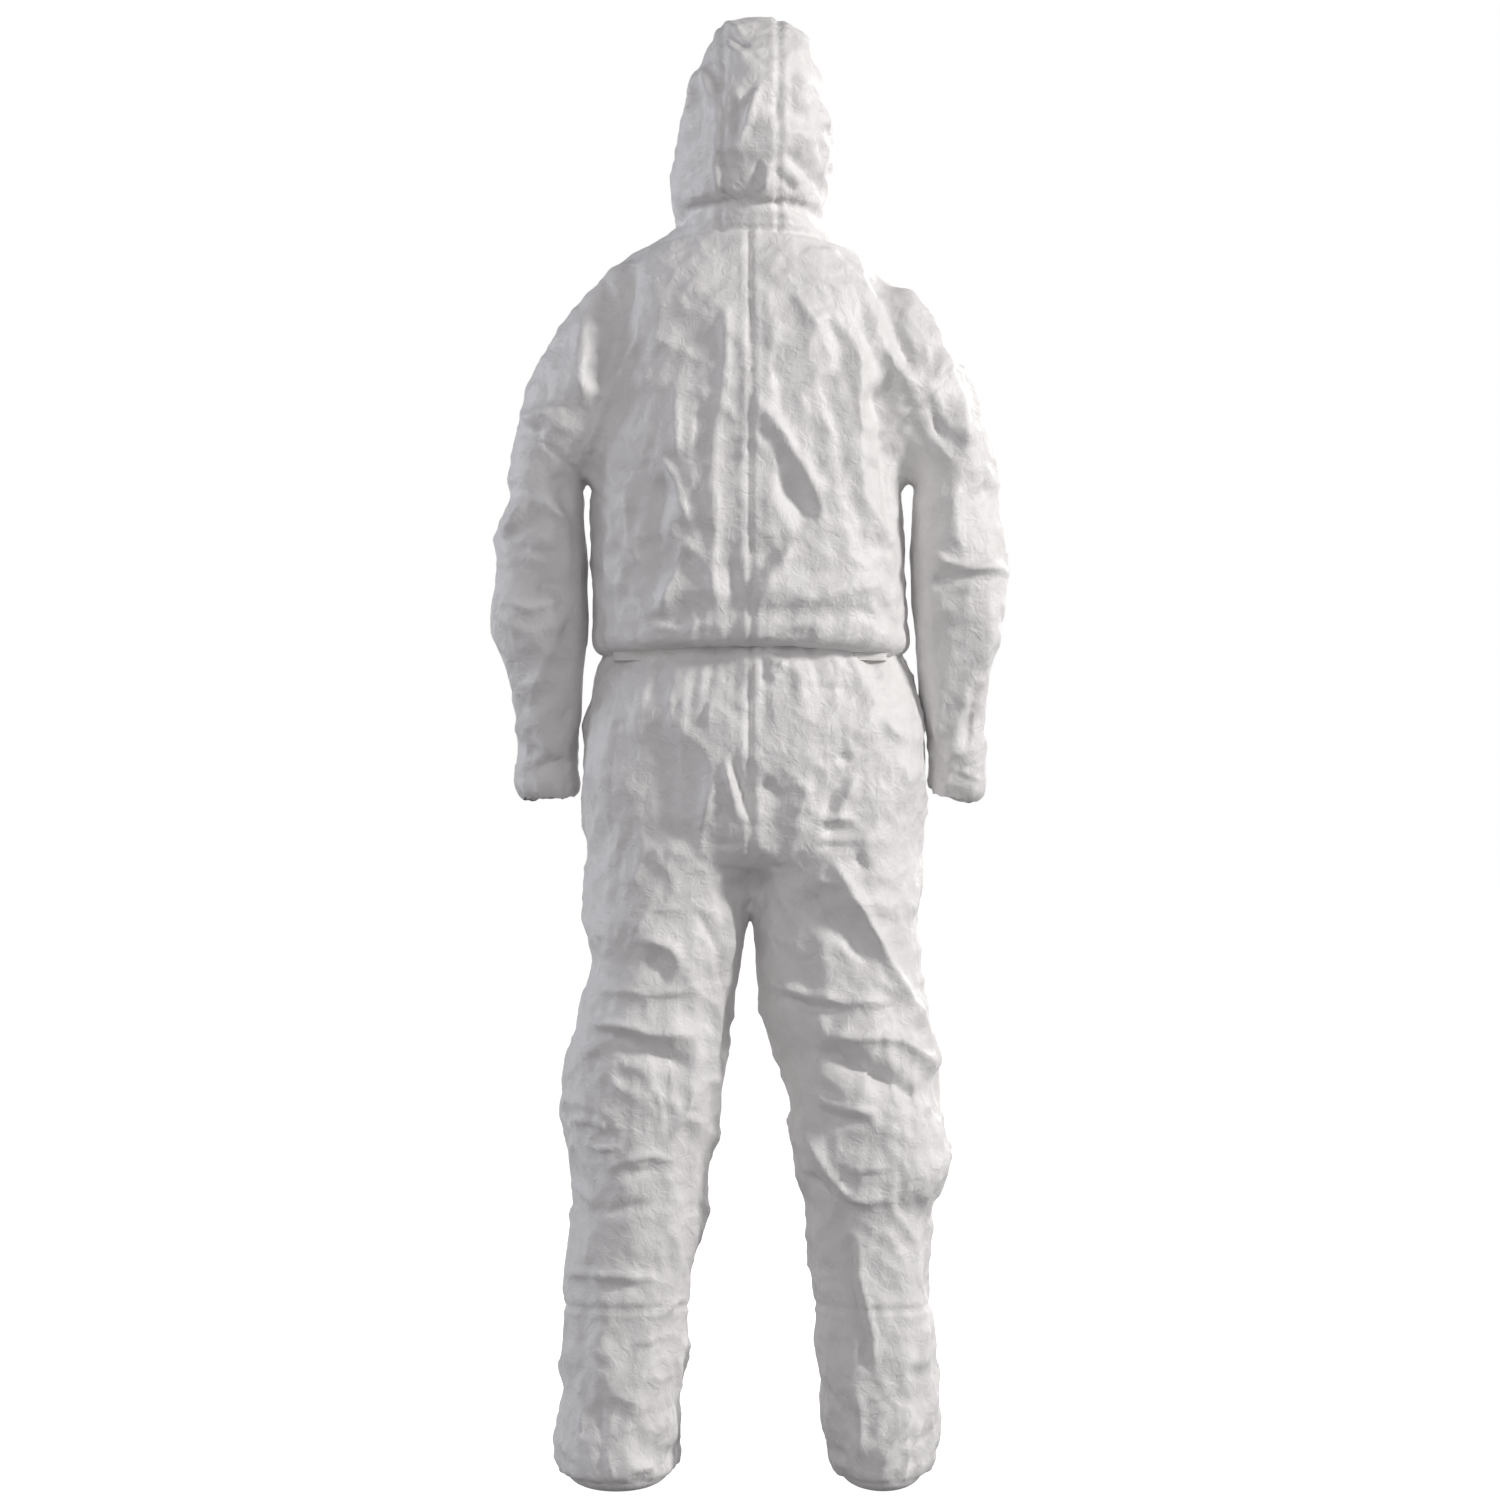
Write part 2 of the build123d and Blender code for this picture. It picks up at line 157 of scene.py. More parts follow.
world = bpy.data.worlds.new("studio")
world.use_nodes = True
bpy.context.scene.world = world
sky = Nodes(world.node_tree)
background = world.node_tree.nodes["Background"]
direction = sky.add("ShaderNodeTexCoord").outputs["Generated"]
split = sky.add("ShaderNodeSeparateXYZ")
sky.link(direction, split.inputs[0])
ramp = sky.add("ShaderNodeValToRGB")
sky.link(sky.math("ABSOLUTE", split.outputs[2]), ramp.inputs[0])
ramp.color_ramp.elements[0].position = 0.14
ramp.color_ramp.elements[0].color = (1.0, 1.0, 1.0, 1)
ramp.color_ramp.elements[1].position = 0.17
ramp.color_ramp.elements[1].color = (0.15, 0.142, 0.15, 1)
sky.link(ramp.outputs[0], background.inputs[0])

bpy.ops.mesh.primitive_plane_add(size=60, location=(0, 0, -0.001))
floor = bpy.context.object
floor.name = "floor"
floor_look = bpy.data.materials.new("floor")
floor_look.use_nodes = True
floor_shader = floor_look.node_tree.nodes["Principled BSDF"]
floor_shader.inputs["Base Color"].default_value = (0.8, 0.8, 0.8, 1)
floor_shader.inputs["Roughness"].default_value = 0.9
floor_shader.inputs["Specular IOR Level"].default_value = 0.0
floor_shader.inputs["Emission Color"].default_value = (1, 1, 1, 1)
floor_shader.inputs["Emission Strength"].default_value = 0.97
floor.data.materials.append(floor_look)
# the floor's glow doesn't light the suit
floor.visible_diffuse = False
floor.visible_glossy = False
floor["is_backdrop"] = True


# Small maths ---------------------------------------------------------------------------------------
def smooth(t):
    t = np.clip(t, 0, 1)
    return t * t * (3 - 2 * t)


def bell(x, width):
    return np.exp(-((x / width) ** 2))


def wave(points, scale, seed=0.0):
    """Smooth noise from -1 to 1 at each point."""
    shift = Vector((seed * 7.31, seed * 3.17, seed * 1.73))
    return np.array([noise.noise(Vector(p) * scale + shift) for p in points])


def creases(points, scale, seed=0.0):
    """Sharp-edged noise, like paper that was crushed and opened out again."""
    warp = np.stack([wave(points, scale * 0.6, seed + k) for k in range(3)], axis=1)
    return np.abs(wave(points + warp * (0.35 / scale), scale, seed + 5))


# Surfaces ------------------------------------------------------------------------------------------
def catmull(rows, step):
    """Rows of numbers, made denser along a smooth curve through them."""
    rows = np.array(rows, float)
    padded = np.vstack([2 * rows[0] - rows[1], rows, 2 * rows[-1] - rows[-2]])
    out = []
    for a, b, c, d in zip(padded, padded[1:], padded[2:], padded[3:]):
        for t in np.arange(step) / step:
            square, cube = 2 * a - 5 * b + 4 * c - d, 3 * b - a - 3 * c + d
            out.append(0.5 * (2 * b + (c - a) * t + square * t**2 + cube * t**3))
    return np.array(out + [rows[-1]])


def tube(rings):
    """(vertices, faces) of a closed tube through rings of equal length."""
    count = len(rings[0])
    faces = []
    for k in range(len(rings) - 1):
        for i in range(count):
            j = (i + 1) % count
            faces.append((k * count + i, k * count + j, (k + 1) * count + j, (k + 1) * count + i))
    last = (len(rings) - 1) * count
    faces.append(tuple(range(count))[::-1])
    faces.append(tuple(range(last, last + count)))
    return np.vstack(rings), faces


def oval(centre, across, along, half_across, half_along, power=2.15, count=64):
    turn = np.linspace(0, 2 * np.pi, count, endpoint=False)
    c, s = np.cos(turn), np.sin(turn)
    c, s = (np.sign(v) * np.abs(v) ** (2 / power) for v in (c, s))
    return np.array(centre) + np.outer(c * half_across, across) + np.outer(s * half_along, along)


def level_tube(rows, side=1, power=2.15, lean=None):
    """Rows are height, inner x, outer x, front y, back y, in millimetres, from the top down."""
    rings = []
    for z, near, far, front, back in catmull(rows, 5) / 1000:
        centre = [side * (near + far) / 2, (front + back) / 2, z]
        ring = oval(centre, (1, 0, 0), (0, 1, 0), (far - near) / 2, (back - front) / 2, power)
        if lean:
            ring[:, 2] += lean(ring)
        rings.append(ring)
    return tube(rings)


ARMPIT = np.array([0.204, 0.0, 1.228])
# Rings that fan round the armpit: angle above level, inner and outer reach, centre y, half-depth
FANS = {
    "left": [(92, 4, 236, 33, 80), (75, 4, 172, 33, 79), (58, 4, 132, 32, 76), (42, 5, 108, 31, 73),
             (26, 5, 101, 31, 70),
             (12, 5, 97, 30, 68)],
    "right": [(92, 4, 236, 33, 80), (75, 4, 172, 33, 79), (58, 4, 136, 32, 76), (42, 5, 114, 31, 73),
              (26, 5, 107, 31, 70),
              (12, 5, 100, 30, 68)],
}
# Level rings of the sleeve: height, inner x, outer x, centre y, half-depth
SLEEVES = {
    "left": [(1228, 206, 296, 30, 67), (1170, 203, 311, 30, 65), (1133, 201, 317, 30, 64),
             (1083, 200, 320, 30, 63),
             (1035, 201, 314, 27, 61), (985, 203, 302, 20, 57), (936, 207, 290, 9, 51),
             (899, 208, 285, 3, 47),
             (870, 207, 288, -2, 42), (850, 208, 286, -4, 40), (840, 211, 281, -5, 36),
             (835, 222, 270, -5, 26)],
    "right": [(1228, 204, 303, 30, 67), (1170, 199, 316, 30, 66), (1133, 198, 320, 30, 65),
              (1083, 201, 322, 30, 63),
              (1035, 204, 313, 27, 61), (985, 207, 298, 20, 57), (936, 211, 295, 9, 51),
              (899, 214, 295, 3, 48),
              (870, 215, 293, -2, 43), (850, 217, 291, -4, 40), (841, 220, 286, -5, 35),
              (836, 232, 274, -5, 24)],
}
TORSO = [(1560, -85, 76, -60, 96), (1532, -93, 87, -70, 103), (1512, -118, 132, -76, 116),
         (1487, -160, 166, -82, 132),
         (1440, -180, 183, -88, 150), (1375, -186, 190, -92, 160), (1300, -188, 194, -95, 166),
         (1215, -189, 196, -96, 168),
         (1130, -191, 196, -99, 168), (1070, -194, 194, -102, 168), (1042, -195, 193, -103, 168),
         (1026, -192, 190, -103, 163),
         (1018, -184, 182, -98, 154), (1016, -168, 166, -86, 138)]
HOOD = [(1500, -84, 78, -60, 88), (1540, -92, 86, -68, 104), (1558, -94, 90, -76, 116),
        (1580, -103, 99, -86, 132),
        (1612, -107, 98, -93, 144), (1650, -106, 91, -95, 152), (1716, -101, 80, -78, 140),
        (1760, -84, 60, -50, 116),
        (1786, -58, 38, -25, 88), (1799, -34, 14, 0, 60)]
WAIST = [(1052, -172, 172, -86, 122), (1030, -176, 176, -90, 126), (1012, -181, 181, -97, 133),
         (992, -192, 194, -104, 143),
         (960, -207, 201, -108, 153), (920, -214, 205, -107, 160), (880, -217, 206, -105, 163),
         (840, -214, 205, -101, 160),
         (800, -210, 204, -97, 154), (774, -205, 203, -93, 147), (766, -190, 190, -80, 132)]
LEGS = {
    "left": [(800, 2, 200, -88, 144), (740, 4, 204, -84, 140), (700, 6, 203, -80, 136),
             (641, 13, 198, -76, 132),
             (605, 18, 203, -73, 130), (568, 23, 219, -72, 131), (531, 27, 229, -71, 132),
             (469, 33, 232, -68, 129),
             (432, 38, 229, -65, 127), (383, 47, 218, -60, 122), (322, 52, 223, -55, 118),
             (273, 64, 228, -51, 116),
             (224, 70, 232, -49, 116), (162, 74, 233, -48, 117), (130, 76, 234, -50, 118)],
    "right": [(800, 3, 205, -88, 144), (740, 7, 206, -84, 140), (700, 8, 206, -80, 137),
              (641, 9, 208, -77, 134),
              (592, 12, 212, -74, 133), (555, 24, 220, -73, 134), (518, 36, 230, -71, 134),
              (469, 47, 236, -68, 132),
              (430, 47, 232, -64, 126), (389, 52, 224, -60, 120), (334, 68, 222, -56, 114),
              (273, 70, 221, -51, 112),
              (224, 76, 223, -49, 113), (162, 80, 229, -48, 116), (130, 84, 230, -50, 118)],
}
FEET = {
    "left": [(136, 76, 234, -50, 118), (101, 77, 236, -72, 121), (70, 80, 238, -112, 126),
             (48, 83, 240, -148, 129),
             (26, 88, 236, -163, 129), (10, 98, 226, -162, 124), (1, 116, 208, -150, 108)],
    "right": [(136, 84, 230, -50, 118), (101, 86, 231, -72, 121), (70, 89, 232, -112, 125),
              (48, 92, 231, -148, 127),
              (26, 98, 224, -163, 126), (10, 110, 213, -162, 122), (1, 126, 196, -150, 108)],
}
# The bunched cloth over the right knee, which hangs over the lower leg
KNEE_BUNCH = [(470, 50, 236, -60, 131), (432, 45, 243, -62, 134), (400, 46, 246, -62, 135),
              (376, 52, 244, -60, 132),
              (360, 60, 240, -54, 127), (352, 78, 226, -40, 112)]


# The sleeves are made this much further from the body, so that the two stay separate surfaces, and then
# moved in
SLEEVE_GAP = 0.020


def sleeve_shift(p):
    """How far out each point of a sleeve is made."""
    return SLEEVE_GAP * smooth((1.236 - p[:, 2]) / 0.03)


def sleeve_tube(side):
    sign = SIDES[side]
    rings = [oval((sign * 0.12, 0.035, 1.36), (0, 0, sign), (0, 1, 0), 0.135, 0.074)]
    for angle, near, far, y, half_depth in catmull(FANS[side], 4):
        turn = math.radians(angle)
        out = np.array([math.cos(turn), 0, math.sin(turn)])
        centre = ARMPIT + out * (near + far) / 2000 + np.array([0, y / 1000, 0])
        centre[0] *= sign
        across = np.array([sign * out[0], 0, out[2]]) * sign
        rings.append(oval(centre, across, (0, 1, 0), (far - near) / 2000, half_depth / 1000))
    for z, near, far, y, half_depth in catmull(SLEEVES[side], 5) / 1000:
        ring = oval((sign * (near + far) / 2, y, z), (1, 0, 0), (0, 1, 0), (far - near) / 2, half_depth)
        ring[:, 0] += sign * sleeve_shift(ring)
        rings.append(ring)
    return tube(rings)


def hem_arch(points):
    """How far the waist hem rises in the middle and drops at the sides."""
    return 0.009 - 0.015 * np.clip(np.abs(points[:, 0]) / 0.19, 0, 1) ** 2


def hem_lean(ring):
    return hem_arch(ring) * smooth((1.16 - ring[:, 2]) / 0.12)


def grown(name, parts, voxel):
    """One closed surface round all the parts."""
    verts, faces, base = [], [], 0
    for part_verts, part_faces in parts:
        verts.append(part_verts)
        faces += [tuple(base + i for i in face) for face in part_faces]
        base += len(part_verts)
    mesh = bpy.data.meshes.new(name)
    mesh.from_pydata(np.vstack(verts).tolist(), [], faces)
    obj = bpy.data.objects.new(name, mesh)
    bpy.context.scene.collection.objects.link(obj)
    editable = bmesh.new()
    editable.from_mesh(mesh)
    # each tube is one shell, turned to face out
    bmesh.ops.recalc_face_normals(editable, faces=editable.faces)
    editable.to_mesh(mesh)
    editable.free()
    remesh = obj.modifiers.new("remesh", "REMESH")
    remesh.mode = "VOXEL"
    remesh.voxel_size = voxel
    bake(obj)
    return obj


def bake(obj):
    """Replaces the object's mesh with what its modifiers make of it."""
    graph = bpy.context.evaluated_depsgraph_get()
    graph.update()
    made = bpy.data.meshes.new_from_object(obj.evaluated_get(graph))
    obj.modifiers.clear()
    old = obj.data
    obj.data = made
    bpy.data.meshes.remove(old)


def coords(obj):
    co = np.empty(len(obj.data.vertices) * 3)
    obj.data.vertices.foreach_get("co", co)
    return co.reshape(-1, 3)


def set_coords(obj, co):
    obj.data.vertices.foreach_set("co", np.ascontiguousarray(co, np.float32).ravel())
    obj.data.update()


def normals(obj):
    no = np.empty(len(obj.data.vertices) * 3)
    obj.data.vertices.foreach_get("normal", no)
    return no.reshape(-1, 3)


def edges(obj):
    pairs = np.empty(len(obj.data.edges) * 2, int)
    obj.data.edges.foreach_get("vertices", pairs)
    return pairs.reshape(-1, 2)


def relaxed(co, pairs, rounds, share=0.5, weight=None):
    """Laplacian smoothing."""
    degree = np.bincount(pairs.ravel(), minlength=len(co))[:, None]
    share = share if weight is None else share * weight[:, None]
    for _ in range(rounds):
        total = np.zeros_like(co)
        for k in range(3):
            total[:, k] = np.bincount(pairs[:, 0], co[pairs[:, 1], k], len(co))
            total[:, k] += np.bincount(pairs[:, 1], co[pairs[:, 0], k], len(co))
        co = co + share * (total / np.maximum(degree, 1) - co)
    return co


FACE_POINT, FACE_OUT = np.array([0, -0.073, 1.545]), np.array([0, -215, 26]) / math.hypot(215, 26)
NECK_POINT, NECK_UP = np.array([0, -0.071, 1.492]), np.array([0, -37, 176]) / math.hypot(37, 176)


def keep_faces(obj, keep):
    """Deletes the faces whose middle the test says no to."""
    editable = bmesh.new()
    editable.from_mesh(obj.data)
    middles = np.array([f.calc_center_median() for f in editable.faces])
    wanted = keep(middles)
    doomed = [f for f, ok in zip(editable.faces, wanted) if not ok]
    bmesh.ops.delete(editable, geom=doomed, context="FACES")
    editable.to_mesh(obj.data)
    editable.free()


def cuff_radius(p, side):
    centre_x = SIDES[side] * (0.2465 + SLEEVE_GAP)
    return np.hypot(p[:, 0] - centre_x, p[:, 1] + 0.005)


def open_top(p):
    hood_front = ((p - FACE_POINT) @ FACE_OUT > 0) & (p[:, 2] > 1.53)
    waist = (p[:, 2] < 1.045) & (np.abs(p[:, 0]) < 0.174) & (
        ((p[:, 0] / 0.163) ** 2 + ((p[:, 1] - 0.026) / 0.107) ** 2) < 1)
    cuffs = np.zeros(len(p), bool)
    for side in SIDES:
        cuffs |= (cuff_radius(p, side) < 0.029) & (p[:, 2] < 0.846)
    return ~(hood_front | waist | cuffs)


def open_bottom(p):
    return ~(p[:, 2] > 1.047)


# Seam fields: signed distances from each seam, in metres
def neck_field(p):
    return (p - NECK_POINT) @ NECK_UP


def centre_field(p):
    return p[:, 0] - 0.0015 * np.sin(p[:, 2] * 22)


def side_field(p):
    return p[:, 1] - 0.032


# x and z of a point of the armhole seam, its slope, and the x that parts sleeve and body below the armpit
ARMHOLES = {
    "left": (0.204, 1.228, 45, (0.197, 0.197, 0.1985, 0.2)),
    "right": (0.193, 1.306, 46, (0.200, 0.1975, 0.195, 0.1965)),
}
PARTING_HEIGHTS = (1.035, 1.083, 1.133, 1.228)


def armhole_field(side):
    x, z, angle, _ = ARMHOLES[side]
    up, out = math.cos(math.radians(angle)), math.sin(math.radians(angle))

    def field(p):
        """Positive on the body's side of the seam."""
        return (p[:, 2] - z) * up - (SIDES[side] * p[:, 0] - x) * out

    return field


def in_sleeve(first, side):
    parting = np.interp(first[:, 2], PARTING_HEIGHTS, ARMHOLES[side][3]) + sleeve_shift(first) / 2
    parted = (SIDES[side] * first[:, 0] > parting) & (first[:, 2] < 1.235)
    beyond_seam = (armhole_field(side)(first) < 0) & (SIDES[side] * first[:, 0] > 0.15)
    return beyond_seam & (parted | (first[:, 2] >= 1.235))


TOP_VOXEL, TROUSER_VOXEL = 0.0085, 0.0085
top_parts = [level_tube(TORSO, power=2.35, lean=hem_lean), level_tube(HOOD)] + [sleeve_tube(s) for s in SIDES]
trouser_parts = [level_tube(WAIST, power=2.3)]
for side, sign in SIDES.items():
    trouser_parts += [level_tube(LEGS[side], sign, 2.3), level_tube(FEET[side], sign, 2.3)]
trouser_parts.append(level_tube(KNEE_BUNCH, -1, 2.3))
top = grown("top", top_parts, TOP_VOXEL)
trousers = grown("trousers", trouser_parts, TROUSER_VOXEL)
for obj in (top, trousers):
    set_coords(obj, relaxed(coords(obj), edges(obj), 4))
keep_faces(top, open_top)
keep_faces(trousers, open_bottom)
for obj in (top, trousers):
    # where each point of the cloth was before it slackened, which the seams follow
    first = obj.data.attributes.new("first", "FLOAT_VECTOR", "POINT")
    first.data.foreach_set("vector", np.ascontiguousarray(coords(obj), np.float32).ravel())
place = coords(top)
for side, sign in SIDES.items():
    parted = in_sleeve(place, side) & (place[:, 2] < 1.236)
    place[parted, 0] -= sign * sleeve_shift(place[parted])
set_coords(top, place)


# Slack cloth ---------------------------------------------------------------------------------------
# How much of the simulated movement is kept: all of it gives regular upright pleats
SIMULATED_SHARE = 0.6


def slacken(obj, stretch, pinned, frames, inset, cap):
    """Cloth cut larger than its form, so that it folds: stretch is the cut's size, pinned the hold."""
    base = coords(obj)
    inward = base - normals(obj) * inset
    form = bpy.data.objects.new("form", obj.data.copy())
    bpy.context.scene.collection.objects.link(form)
    set_coords(form, relaxed(inward, edges(form), 6))
    form.modifiers.new("collision", "COLLISION")
    form.collision.thickness_outer = 0.002
    form.collision.cloth_friction = 12
    obj.shape_key_add(name="Basis")
    cut = obj.shape_key_add(name="cut")
    cut.data.foreach_set("co", np.ascontiguousarray(stretch(base), np.float32).ravel())
    group = obj.vertex_groups.new(name="held")
    hold = pinned(base)
    for level in np.unique(np.round(hold, 1)):
        if level > 0:
            group.add(np.flatnonzero(np.round(hold, 1) == level).tolist(), float(level), "REPLACE")
    cloth = obj.modifiers.new("cloth", "CLOTH")
    settings = cloth.settings
    settings.quality = 6
    settings.mass = 0.12
    settings.tension_stiffness = settings.compression_stiffness = 40
    settings.shear_stiffness = 12
    settings.bending_stiffness = 1.2
    settings.tension_damping = settings.compression_damping = 12
    settings.air_damping = 3
    settings.vertex_group_mass = "held"
    settings.pin_stiffness = 6
    settings.rest_shape_key = cut
    cloth.collision_settings.distance_min = 0.002
    cloth.collision_settings.collision_quality = 2
    scene = bpy.context.scene
    cloth.point_cache.frame_start = 1
    cloth.point_cache.frame_end = frames
    scene.frame_start, scene.frame_end = 1, frames
    for step in range(1, frames + 1):
        scene.frame_set(step)
    graph = bpy.context.evaluated_depsgraph_get()
    moved = bpy.data.meshes.new_from_object(obj.evaluated_get(graph))
    after = np.empty(len(moved.vertices) * 3)
    moved.vertices.foreach_get("co", after)
    after = after.reshape(-1, 3)
    obj.modifiers.clear()
    obj.shape_key_clear()
    obj.vertex_groups.clear()
    bpy.data.meshes.remove(moved)
    bpy.data.objects.remove(form)
    scene.frame_set(1)
    step = after - base
    size = np.linalg.norm(step, axis=1, keepdims=True)
    set_coords(obj, base + step * SIMULATED_SHARE * np.minimum(1, cap / np.maximum(size, 1e-9)))


def uneven(p, size, seed):
    """Slack that gathers here and there, so that the folds come out irregular."""
    return np.stack([wave(p, 7, seed + k) for k in range(3)], axis=1) * size


def top_cut(p):
    """The top's pattern is longer than the body: most in the sleeves, and in the back above the waist."""
    out = p + uneven(p, 0.012, 1)
    arm = smooth((np.abs(p[:, 0]) - 0.20) / 0.02)
    hood = smooth((p[:, 2] - 1.55) / 0.03)
    out[:, 2] += (p[:, 2] - 1.3) * (0.055 + 0.065 * arm - 0.02 * hood)
    out[:, 0] *= 1.012
    return out


def top_hold(p):
    hold = np.zeros(len(p))
    hold = np.maximum(hold, smooth((1.045 - p[:, 2]) / 0.012) * (np.abs(p[:, 0]) < 0.2))
    hold = np.maximum(hold, smooth((0.868 - p[:, 2]) / 0.016) * (p[:, 2] < 0.9))
    hold = np.maximum(hold, bell(((p - NECK_POINT) @ NECK_UP) - 0.004, 0.016))
    hold = np.maximum(hold, smooth((((p - FACE_POINT) @ FACE_OUT) + 0.03) / 0.02) * (p[:, 2] > 1.55))
    strip = smooth((0.055 - np.abs(p[:, 0])) / 0.02) * smooth((-0.05 - p[:, 1]) / 0.02) * (p[:, 2] < 1.5)
    return np.maximum(hold, strip)


def trouser_cut(p):
    out = p + uneven(p, 0.014, 4)
    knee = smooth((0.66 - p[:, 2]) / 0.15) * smooth((p[:, 2] - 0.2) / 0.1)
    out[:, 2] += (p[:, 2] - 0.46) * (0.05 + 0.05 * knee)
    out[:, 0] += 0.010 * p[:, 0]
    return out


def trouser_hold(p):
    hold = smooth((p[:, 2] - 0.985) / 0.02)
    hold = np.maximum(hold, smooth((0.035 - p[:, 2]) / 0.02))
    strip = smooth((0.05 - np.abs(p[:, 0])) / 0.02) * smooth((-0.05 - p[:, 1]) / 0.02) * (p[:, 2] > 0.85)
    return np.maximum(hold, strip)


slacken(top, top_cut, top_hold, 26, 0.010, 0.020)
slacken(trousers, trouser_cut, trouser_hold, 26, 0.010, 0.022)

for obj in (top, trousers):
    obj.modifiers.new("finer", "SUBSURF").levels = 1
    bake(obj)

